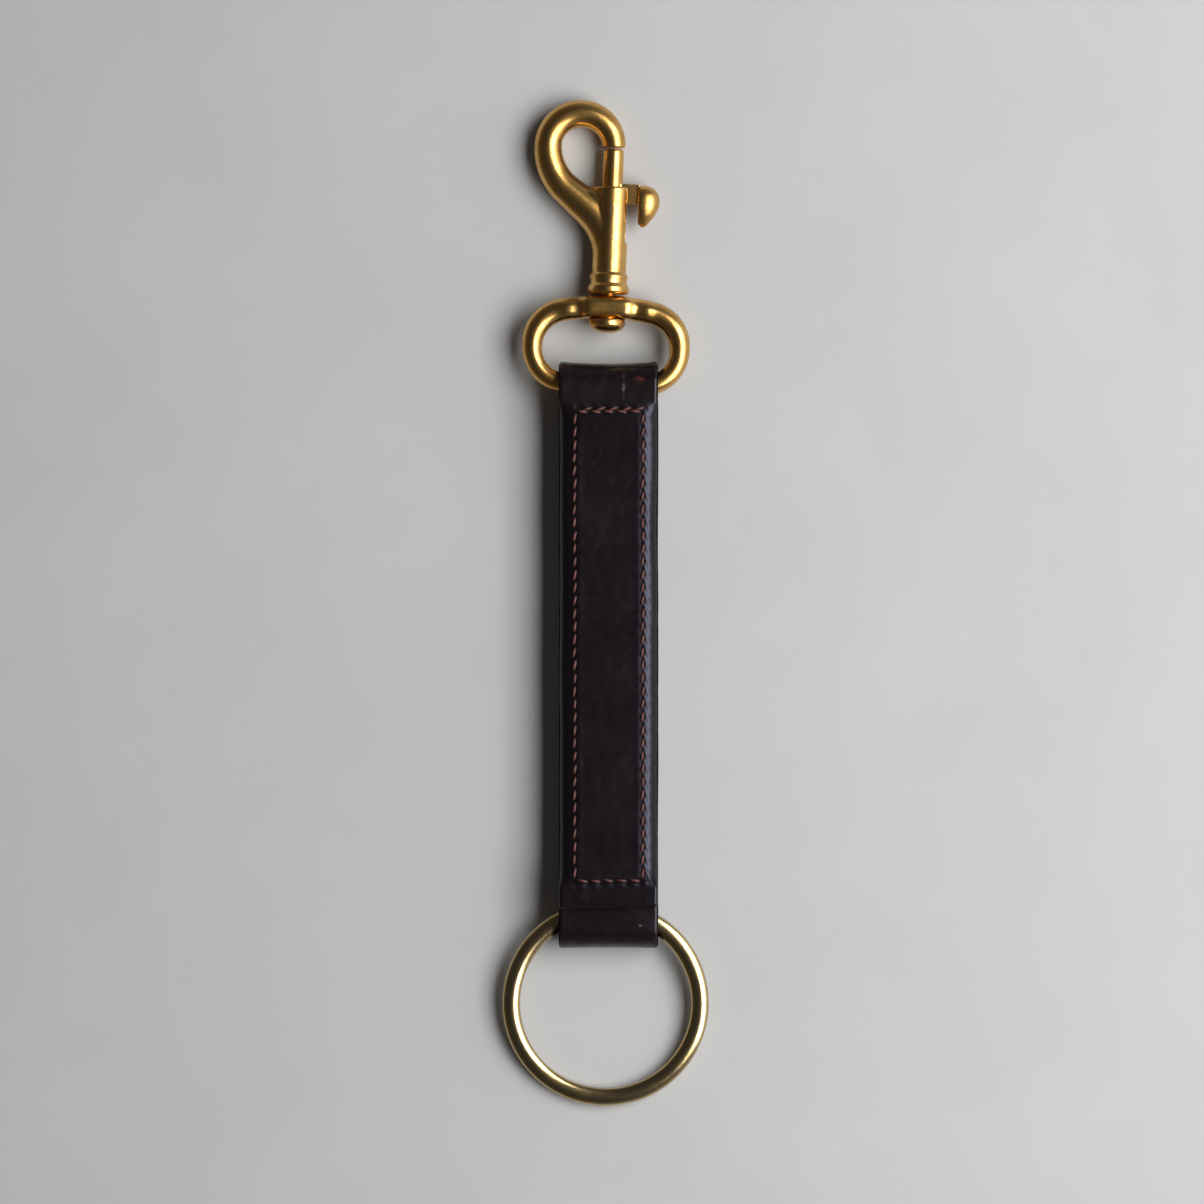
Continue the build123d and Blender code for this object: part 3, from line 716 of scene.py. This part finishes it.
def makeStitches():
    # every thread at once: an oval section along t in -1..1, lifted by 1 - |t|^2.4, thinner at its two ends
    t = thread
    rows, sides = t["steps"], t["sides"]
    steps = np.sin(np.linspace(-pi / 2, pi / 2, rows))
    angles = np.arange(sides) * tau / sides
    lift = t["height"] * (1 - np.abs(steps) ** 2.4) - t["sink"] * np.abs(steps) ** 3
    raised = (lift - t["height"] / 2 + t["above"])[None, :, None]
    slim = np.sqrt(np.maximum(1 - 0.75 * np.abs(steps) ** 5, 0))
    allPoints, quads, fans, start = [], [], [], 0
    for face, sign, onFace in ((0, 1, onFront(strapRun)), (1, -1, onBack(strapRun))):
        spots = stitchSpots()
        if face == 0:   # the finish overlaps itself at the top, as a thread that was sewn back does
            top = spots[np.abs(spots[:, 1] - strap["stitchTop"]) < 0.01][-t["doubled"]:]
            spots = np.concatenate([spots, top + np.array(t["doubledShift"])])
        count = len(spots)
        faceY, faceZ = strapPath[onFace][np.argsort(strapPath[onFace, 0])].T
        shift = chance.uniform(-1, 1, (count, 2)) * t["shiftSpread"]
        x, y = spots[:, 0] + shift[:, 0], spots[:, 1] + shift[:, 1]
        turn = np.radians(spots[:, 2] - t["slant"] + chance.uniform(-1, 1, count) * t["turnSpread"])
        size = (t["length"] / 2 * chance.uniform(*t["lengthSpread"], count))[:, None]
        girth = (t["width"] / 2 * chance.uniform(*t["girthSpread"], count))[:, None, None]
        base = np.interp(y, faceY, faceZ) + sign * faceRelief(x, y, face)
        slope = np.interp(y + 0.5, faceY, faceZ) - np.interp(y - 0.5, faceY, faceZ)
        alongX, alongY = -np.sin(turn)[:, None], np.cos(turn)[:, None]
        centreX = x[:, None] + alongX * steps * size
        centreY = y[:, None] + alongY * steps * size
        across = girth * slim[None, :, None] * np.cos(angles)
        up = girth * slim[None, :, None] * np.sin(angles) * t["height"] / t["width"] * 1.15
        pointX = centreX[:, :, None] + alongY[:, :, None] * across
        pointY = centreY[:, :, None] - alongX[:, :, None] * across
        tilt = slope[:, None, None] * (pointY - y[:, None, None])
        pointZ = base[:, None, None] + sign * (raised + up) + tilt
        shell = np.stack([pointX, pointY, pointZ], -1)
        block = np.concatenate([shell.reshape(count, -1, 3), shell[:, [0, -1]].mean(2)], 1)
        allPoints.append(block.reshape(-1, 3))
        offsets = start + np.arange(count)[:, None, None] * block.shape[1]
        for kept, faces in zip((quads, fans), tubeFaces(rows, sides)):
            kept.append((faces[:, ::sign] + offsets).reshape(-1, faces.shape[1]))
        start += block.shape[0] * block.shape[1]
    points = placed(np.concatenate(allPoints), strapPlace)
    faces = [np.concatenate(quads), np.concatenate(fans)]
    piece = makePiece("stitchThread", *facingOut(points, faces))
    alongThread = np.append(np.repeat(np.linspace(0, 1, rows), sides), [0.0, 1.0])
    markPoints(piece, "alongThread", np.tile(alongThread, len(points) // len(alongThread)))
    return piece


threadLook = {
    "colour": (0.072, 0.020, 0.016, 1), "pale": (0.130, 0.044, 0.036, 1), "darkened": (0.022, 0.006, 0.006, 1),
}


def makeThreadFinish():
    # painted shade: darker where each stitch dives into the leather
    look = threadLook
    material, tree, shader, where = newMaterial("waxedRustThread")
    along = readMark(tree, "alongThread")
    patches = useEffect(tree, "patches", {"Where": where, "Size": 420.0, "Contrast": 0.4})["Patches"]
    grain = useEffect(tree, "grain", {"Where": where, "Size": 6500.0, "Depth": 0.00006})
    colour = blendColour(tree, patches, look["colour"], look["pale"])
    away = combine(tree, "ABSOLUTE", combine(tree, "SUBTRACT", along, 0.5))
    # painted shade over both ends of each stitch, where it sinks into the leather
    colour = blendColour(tree, mapped(tree, away, 0.12, 0.38, smooth=True), colour, look["darkened"])
    rough = mapped(tree, patches, 0.0, 1.0, 0.42, 0.6)
    toShader(tree, shader, Base_Color=colour, Roughness=rough, Normal=grain["Normal"])
    return material


threadFinish = makeThreadFinish()
finished(makeStitches(), "strap", threadFinish, "stitching")


# the swivel eye, its rivet, the snap and the bolt, in the snap's own frame, in mm up from the eye's axis
eye = {
    "width": 32.2, "wire": 3.8, "barWire": 4.5, "height": 15.66, "corner": 6.8, "straight": 0.6,
    "pivot": 0.45, "hubHalf": 4.7, "hubRise": 1.0, "hubSquare": 0.34, "seat": 2.15, "hubProud": 0.1,
    "hole": 1.65, "sides": 56, "thinning": (0.05, 0.75), "swell": [(-7.6, 1.5, 0.34), (7.6, 1.3, 0.30)],
}
eye["top"] = eye["height"] - eye["pivot"]
eye["hubLow"] = eye["top"] - eye["barWire"] / 2 - eye["hubProud"]
eye["hubHigh"] = eye["top"] + eye["barWire"] / 2

rivet = {
    "gap": 0.1, "headHeight": 2.56, "headRadius": 3.5, "dome": 1.7, "rim": 0.2,
    "shoulder": 2.6, "shank": 1.55, "peening": 0.05, "sides": 72,
}

snap = {
    "collarGap": 0.2, "foot": 2.6, "collarRadius": 4.05, "collarHeight": 2.0, "collarRound": 0.8,
    "cove": 0.95, "beadRadius": 3.75, "beadHeight": 0.9, "footRadius": 3.3, "barrelRadius": 3.45,
    "barrelHeight": 16.9,
    "floor": 0.9, "bore": 2.12, "hookRise": 7.64, "hookRadius": 6.35, "spineRadius": 10.9, "spineTurn": 51.0,
    "rootRadius": 12.0, "tipGap": 0.3, "slotWidth": 3.0, "slotBelow": 7.2, "beadRound": 0.3, "rimRound": 0.35,
    "webFrom": -7.6, "webLength": 6.4, "webReach": (1.3, 2.3), "webDepth": (2.0, 0.85),
    "girth": [(0, 2.25), (0.1, 2.5), (0.2, 2.7), (0.4, 2.65), (0.6, 2.92), (0.8, 3.45), (1, 3.25)],
    "depth": [(0, 2.25), (0.1, 2.5), (0.2, 2.7), (0.4, 2.65), (0.6, 2.7), (0.8, 2.95), (1, 3.25)],
    "sides": 64,
}
snap["collarLow"] = eye["hubHigh"] + snap["collarGap"]
snap["beadLow"] = snap["collarLow"] + snap["collarHeight"] + snap["cove"]
snap["barrelLow"] = snap["beadLow"] + snap["beadHeight"]
snap["rim"] = snap["barrelLow"] + snap["barrelHeight"]
snap["boreLow"] = snap["barrelLow"] + snap["floor"]
snap["hookTip"] = snap["rim"] + snap["hookRise"]

bolt = {
    "radius": 2.0, "tipRound": 0.5, "neckAbove": 0.9, "neckHeight": 4.3, "neckThick": 2.6, "tail": 2.9,
    "knobFlat": 5.15, "knobCrest": 1.0, "knobReach": 3.15, "knobHeight": 8.2, "knobRise": -0.3,
    "knobThick": 5.0,
    "knobShape": [(0, 0.02), (0.015, 0.24), (0.04, 0.44), (0.1, 0.7), (0.2, 0.9), (0.36, 1), (0.54, 0.93),
                  (0.72, 0.7), (0.88, 0.38), (0.96, 0.2), (0.99, 0.1), (1, 0.02)],
}
bolt["neckHigh"] = snap["rim"] + bolt["neckAbove"]
bolt["neckLow"] = bolt["neckHigh"] - bolt["neckHeight"]
bolt["low"] = bolt["neckLow"] - bolt["tail"]
bolt["high"] = snap["hookTip"] - snap["tipGap"]


def evenedOut(values, rounds):
    # each value becomes half of itself and a quarter of each neighbour, again and again; the two ends stay
    for _ in range(rounds):
        values[1:-1] = 0.25 * values[:-2] + 0.5 * values[1:-1] + 0.25 * values[2:]
    return values


def flatBar(path, headings, radii, sides, squeeze=1.0, power=1.0):
    # a round bar whose middle line lies in the snap's plane
    flat = np.zeros((len(path), 1))
    sideways = np.concatenate([-np.sin(headings)[:, None], np.cos(headings)[:, None], flat], 1)
    upward = np.tile((0.0, 0.0, -1.0), (len(path), 1))
    return roundBar(np.concatenate([path, flat], 1), sideways, upward, radii, sides, squeeze, power)


def roundedRod(low, high, radius, lowRound, highRound, sides=64):
    # a turned rod from station low to high with rounded rims
    turn = np.linspace(0, pi / 2, 8)
    stations = np.concatenate([
        [low], low + lowRound * (1 - np.cos(turn)), high - highRound * (1 - np.sin(turn)), [high]])
    radii = np.concatenate([
        [radius - lowRound], radius - lowRound * (1 - np.sin(turn)), radius - highRound * (1 - np.cos(turn)),
        [radius - highRound]])
    keep = np.concatenate([[True], np.hypot(np.diff(stations), np.diff(radii)) > 1e-6])
    return turnedBar(stations[keep], radii[keep], sides)


def makeEye():
    # a closed loop of arcs, wide at the hub: two crowns, four corners and two short sides
    e = eye
    halfWidth = (e["width"] - e["wire"]) / 2
    reach = e["height"] / 2 - e["straight"] / 2
    crown = ((halfWidth - e["corner"]) ** 2 + reach ** 2 - e["corner"] ** 2) / (2 * (reach - e["corner"]))
    crownTurn = np.degrees(np.arcsin((halfWidth - e["corner"]) / (crown - e["corner"])))
    side = [(e["corner"], -(90 - crownTurn)), (0, e["straight"]), (e["corner"], -(90 - crownTurn))]
    runs = [(crown, -crownTurn)] + side + [(crown, -2 * crownTurn)] + side + [(crown, -crownTurn)]
    path, headings, _ = walkPath((0, e["top"]), 0.0, [(*run, 0.35) for run in runs])
    # the loop is thickest at the hub and thins towards the strap; its bar swells beside the hub by
    # exp(-((x - at) / wide)^2) and at the hub by 1 / (1 + |x / half|^12)
    share = np.clip((e["top"] - path[:, 1]) / e["height"], 0, 1)
    radii = e["wire"] / 2 + (e["barWire"] - e["wire"]) / 2 * (1 - easeStep(share, *e["thinning"]))
    swell = sum(high * np.exp(-((path[:, 0] - at) / wide) ** 2) for at, wide, high in e["swell"])
    boss = (share < 0.3) / (1 + np.abs(path[:, 0] / e["hubHalf"]) ** 12)
    swell = (share < 0.3) * swell + e["hubRise"] * boss
    loop = flatBar(path, headings, radii, e["sides"], 1 + swell / radii, 1 - e["hubSquare"] * boss)
    seat = roundedRod(e["hubLow"], e["hubHigh"], e["seat"], 0.3, 0.3)
    hole = turnedBar([e["hubLow"] - 3, e["hubHigh"] + 3], [e["hole"], e["hole"]])
    return castPiece("swivelEyeCasting", [loop, seat], snapPlace, [hole], grain=0.17, softening=12)


def makeRivet():
    # turned: a dome low + dome * (1 - cos^1.15) high and head * sin^0.9 wide, a shoulder and a shank up to
    # the snap, with soft dents from peening, sin(3 a) round the dome
    r = rivet
    shoulder = eye["hubLow"] - r["gap"]
    low = shoulder - r["headHeight"]
    turn, rim = np.linspace(0.04, pi / 2, 14), np.linspace(0, pi / 2, 5)[1:]
    stations = np.concatenate([
        [low], low + r["dome"] * (1 - np.cos(turn) ** 1.15), shoulder - r["rim"] * (1 - np.sin(rim)),
        [shoulder, shoulder, eye["hubLow"] + 1, snap["boreLow"]]])
    radii = np.concatenate([
        [0.03], r["headRadius"] * np.sin(turn) ** 0.9, r["headRadius"] - r["rim"] * (1 - np.cos(rim)),
        [r["shoulder"], r["shank"], r["shank"], r["shank"]]])
    points, faces = turnedBar(stations, radii, r["sides"])
    around = np.arctan2(points[:, 0], points[:, 2])
    onDome = np.sin(pi * np.clip((points[:, 1] - low) / r["dome"], 0, 1))
    points[:, 1] += r["peening"] * np.sin(3 * around + 0.7) * onDome
    piece = makePiece("swivelRivetHead", placed(points, snapPlace), faces)
    markEdges(piece, 0.3 * mm)
    return piece


def makeSnap():
    # the hook's line: half a turn over the gate, then an S down to the barrel, straight between its two bends
    n = snap
    turn = radians(n["spineTurn"])
    run = (2 * n["hookRadius"] - (n["spineRadius"] + n["rootRadius"]) * (1 - cos(turn))) / sin(turn)
    runs = [(n["hookRadius"], 180), (n["spineRadius"], n["spineTurn"]), (0, run)]
    runs.append((n["rootRadius"], -n["spineTurn"]))
    path, headings, _ = walkPath((0, n["hookTip"]), pi / 2, [(*run, 0.25) for run in runs])
    share = np.linspace(0, 1, len(path))
    girth, depth = [evenedOut(np.interp(share, *np.array(n[key]).T), 60) for key in ("girth", "depth")]
    hook = flatBar(path, headings, girth, n["sides"], depth / girth)
    # a short web, widening towards the barrel, closes the corner between the hook and the rim
    along = np.linspace(0, 1, 24)
    reach, deep = [narrow + more * along for narrow, more in (n["webReach"], n["webDepth"])]
    web = np.stack([n["webFrom"] + n["webLength"] * along, n["rim"] + 0.05 - reach, np.zeros(24)], -1)
    sideways, upward = np.tile((0.0, 1.0, 0.0), (24, 1)), np.tile((0.0, 0.0, 1.0), (24, 1))
    web = roundBar(web, sideways, upward, reach, 48, deep / reach)

    # collar, cove, bead, barrel and rim, as one turned outline with its edges rounded by 1 - cos and sin
    corner = np.linspace(0, pi / 2, 8)
    rise, fall = 1 - np.cos(corner), np.sin(corner)
    low, high, r = n["collarLow"], n["collarLow"] + n["collarHeight"], n["collarRound"]
    bead, rim, cove = n["beadRound"], n["rimRound"], n["footRadius"] + 0.22
    stations = np.concatenate([
        [low], low + r * rise, high - r + r * fall, [high + 0.25, n["beadLow"] - 0.1],
        n["beadLow"] + bead * rise, n["barrelLow"] - bead + bead * fall, [n["barrelLow"] + 0.15],
        n["rim"] - rim + rim * fall])
    radii = np.concatenate([
        [n["foot"]], n["collarRadius"] - r * (1 - fall), n["collarRadius"] - r * rise, [cove, cove],
        n["beadRadius"] - bead * (1 - fall), n["beadRadius"] - bead * rise, [n["footRadius"]],
        n["barrelRadius"] - rim * rise])
    barrel = turnedBar(stations, radii, 80)

    bore = turnedBar([n["boreLow"], bolt["high"] - 0.02], [n["bore"], n["bore"]], 64)
    half = n["slotWidth"] / 2
    slotLow, slotHigh = bolt["neckLow"] - n["slotBelow"], n["hookTip"] - 3.5
    slot = boxPart((0.0, slotLow, -half), (2 * n["barrelRadius"], slotHigh, half))
    return castPiece("snapCasting", [hook, web, barrel], snapPlace, [bore, slot], grain=0.15, softening=24)


def makeBolt():
    # the rod, its neck through the slot, and the thumb piece: level ovals down its height whose reach follows
    # the knob's shape, flat towards the barrel
    b = bolt
    rod = roundedRod(b["low"], b["high"], b["radius"], 0.2, b["tipRound"])
    side = b["neckThick"] / 2 - 0.05
    neck = boxPart((0.0, b["neckLow"] + 0.2, -side), (b["knobFlat"] + 0.2, b["neckHigh"] - 0.25, side))
    drop = 0.5 - 0.5 * np.cos(np.linspace(0, pi, 60))
    size = evenedOut(np.interp(drop, *np.array(b["knobShape"]).T), 4)
    height = b["neckHigh"] + b["knobRise"] - drop * b["knobHeight"]
    centres = np.stack(np.broadcast_arrays(b["knobFlat"] + b["knobCrest"], height, 0), -1)
    across, over = np.tile((1.0, 0.0, 0.0), (60, 1)), np.tile((0.0, 0.0, 1.0), (60, 1))
    squeeze = b["knobThick"] / 2 / b["knobReach"]
    points, faces = roundBar(centres, across, over, size * b["knobReach"], 64, squeeze)
    points[:, 0] = np.maximum(points[:, 0], b["knobFlat"])
    return castPiece("boltCasting", [rod, neck, (points, faces)], snapPlace, grain=0.13, softening=6)


finished(makeEye(), "eye", castBrass, "swivel_eye")
finished(makeRivet(), "snap", castBrass, "swivel_rivet")
finished(makeSnap(), "snap", castBrass, "snap_body")
finished(makeBolt(), "bolt", castBrass, "bolt")


# the spring inside the barrel
spring = {"wire": 0.18, "turns": 4.5, "clear": 0.25, "seat": 0.23, "sections": 200, "pressed": 0.22}
springLook = {"colour": (0.5, 0.5, 0.5, 1), "stained": (0.34, 0.33, 0.32, 1), "roughness": (0.3, 0.45)}


def makeSpring():
    # a wire carried round a helix: (r cos a, height, r sin a), which shortens as the bolt is drawn back
    radius = snap["bore"] - spring["clear"] - spring["wire"]
    low, high = snap["boreLow"] + spring["seat"], bolt["low"] - spring["seat"]
    turns = np.linspace(0, spring["turns"] * tau, spring["sections"])
    heights = low + (high - low) * turns / turns[-1]
    centres = np.stack([radius * np.cos(turns), heights, radius * np.sin(turns)], -1)
    sideways = np.stack([np.cos(turns), np.zeros(len(turns)), np.sin(turns)], -1)
    upward = np.tile((0.0, 1.0, 0.0), (len(turns), 1))
    points, faces = roundBar(centres, sideways, upward, spring["wire"], 8)
    return makePiece("boltSpringWire", placed(points, snapPlace), faces)


def makeSteel():
    look = springLook
    material, tree, shader, where = newMaterial("springWire")
    patches = useEffect(tree, "patches", {"Where": where, "Size": 900.0, "Contrast": 0.4})["Patches"]
    grain = useEffect(tree, "grain", {"Where": where, "Size": 6000.0, "Depth": 0.00001})
    colour = blendColour(tree, patches, look["colour"], look["stained"])
    rough = mapped(tree, patches, 0.0, 1.0, *look["roughness"])
    toShader(tree, shader, Base_Color=colour, Metallic=1.0, Roughness=rough, Normal=grain["Normal"])
    return material


springPiece = makeSpring()
finished(springPiece, "snap", makeSteel(), "bolt_spring")
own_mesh(springPiece)


# the key ring: one wire of two turns, each turn half round, with the step hidden in the fold
ring = {
    "radius": 18.2, "width": 3.4, "turn": 1.27, "gap": 0.06, "edge": 0.16, "step": 12.0,
    "sections": 300, "sides": 32,
}


def ringBar(first, last, level, levelEnd, sections):
    # the half-oval section carried round: (r cos a, r sin a, z), its flat side towards the middle and its
    # back bowed by sin^0.9, from one level to another by an eased step
    r = ring
    around = np.linspace(first, last, sections)
    phi = np.arange(r["sides"]) * tau / r["sides"]
    bow = r["edge"] + (r["turn"] - r["edge"]) * np.maximum(np.sin(phi), 0) ** 0.9
    rise = np.where(np.sin(phi) >= 0, bow, r["edge"] * np.abs(np.cos(phi)) ** 8)
    height = np.interp(easeStep(around, first, last), [0, 1], [level, levelEnd])
    z = height[:, None] + (np.sign(level + levelEnd) or 1) * rise[None, :]
    radius = r["radius"] + (np.cos(phi) * r["width"] / 2)[None, :]
    points = np.stack([radius * np.cos(around)[:, None], radius * np.sin(around)[:, None], z], -1)
    everything = np.concatenate([points.reshape(-1, 3), points[[0, -1]].mean(1)])
    return facingOut(everything, tubeFaces(sections, r["sides"]))


def makeRing():
    # a lower and an upper turn, open at the crown, and the step from one to the other that closes them there
    halfStep, crown, half = radians(ring["step"] / 2), pi / 2, ring["gap"] / 2
    parts = [ringBar(crown + halfStep, crown + tau - halfStep, side * half, side * half, ring["sections"])
             for side in (-1, 1)]
    parts.append(ringBar(crown - halfStep * 0.99, crown + halfStep * 0.99, -half - 0.1, half, 12))
    points, faces = joinParts(parts)
    piece = makePiece("splitKeyRing", placed(points, ringPlace), faces)
    markEdges(piece, 0.4 * mm)
    return piece


finished(makeRing(), "ring", ringBrass, "key_ring")


# floor, lamps, surroundings and camera, in metres
floorLook = {
    "half": 3.0, "colour": (0.48, 0.48, 0.475, 1), "paler": (0.52, 0.52, 0.515, 1),
    "bounce": (0.26, 0.26, 0.26, 1), "roughness": 0.75,
}


def makeFloor():
    # a flat square, seen pale and mirrored pale, that throws less light back on the object than it shows
    look, size = floorLook, floorLook["half"]
    corners = np.array([(-size, -size, 0), (size, -size, 0), (size, size, 0), (-size, size, 0)])
    floor = makePiece("paleFloor", corners, [np.array([(0, 1, 2, 3)])], smooth=False)
    material, tree, shader, where = newMaterial("paleFloorPaint")
    patches = useEffect(tree, "patches", {"Where": where, "Size": 25.0, "Contrast": 0.6})["Patches"]
    seen = blendColour(tree, patches, look["colour"], look["paler"])
    rays = tree.nodes.new("ShaderNodeLightPath").outputs
    direct = combine(tree, "MAXIMUM", rays["Is Camera Ray"], rays["Is Glossy Ray"])
    direct = combine(tree, "MAXIMUM", direct, rays["Is Transmission Ray"])
    colour = blendColour(tree, direct, look["bounce"], seen)
    toShader(tree, shader, Base_Color=colour, Roughness=look["roughness"])
    floor.data.materials.append(material)


# each lamp's size is given along the object and across it
lamps = {
    "softRight": {"at": (0.48, 0.0, 0.64), "size": (0.95, 0.50), "power": 9.3},
    "lowRight": {"at": (0.80, 0.0, 0.40), "size": (1.20, 0.50), "power": 1.9},
}


def makeLamps():
    middle = Vector((*(np.array(cadBounds[0]) + np.array(cadBounds[1]))[:2] / 2, 0.005))
    for name, look in lamps.items():
        light = bpy.data.lights.new(name, "AREA")
        light.shape = "RECTANGLE"
        light.size, light.size_y = look["size"]
        light.energy = look["power"]
        lamp = bpy.data.objects.new(name, light)
        lamp.location = look["at"]
        lamp.rotation_euler = (middle - lamp.location).to_track_quat("-Z", "Y").to_euler()
        bpy.context.scene.collection.objects.link(lamp)


roomLook = {
    "left": (0.098, 0.072, 0.054, 1), "right": (0.28, 0.29, 0.32, 1), "ceiling": (0.035, 0.035, 0.04, 1),
    "leftToRight": (-0.6, 0.9), "wallToCeiling": (0.15, 0.8),
}


def makeSurroundings():
    # walls that go from dim and warm on the left to cool and brighter on the right, under a dark ceiling
    look = roomLook
    world = bpy.data.worlds.new("studioRoom")
    bpy.context.scene.world = world
    world.use_nodes = True
    tree = world.node_tree
    direction = addNode(tree, "ShaderNodeTexCoord").outputs["Generated"]
    parts = addNode(tree, "ShaderNodeSeparateXYZ", {0: direction}).outputs
    overhead = mapped(tree, parts["Z"], *look["wallToCeiling"], smooth=True)
    toRight = mapped(tree, parts["X"], *look["leftToRight"], smooth=True)
    walls = blendColour(tree, toRight, look["left"], look["right"])
    room = blendColour(tree, overhead, walls, look["ceiling"])
    connect(tree, tree.nodes["Background"], {"Color": room, "Strength": 1.0})


camera = {
    "fromStrap": (-1.25, 10.2), "above": 2.4, "frameWidth": 0.2316, "planeHeight": 0.010, "sensor": 36.0,
}


def makeCamera():
    # straight above, with the frame's width measured at the height of the object's upper faces
    data = bpy.data.cameras.new("topCamera")
    data.sensor_width = camera["sensor"]
    data.lens = camera["sensor"] * (camera["above"] - camera["planeHeight"]) / camera["frameWidth"]
    data.clip_start = 0.01
    view = bpy.data.objects.new("topCamera", data)
    view.location = (*(strapPlace[0][:2] + np.array(camera["fromStrap"]) * mm), camera["above"])
    bpy.context.scene.collection.objects.link(view)
    bpy.context.scene.camera = view


makeFloor()
makeLamps()
makeSurroundings()
makeCamera()
bpy.context.scene.view_settings.view_transform = "Standard"
print("stage ready")

bpy.context.view_layer.update()
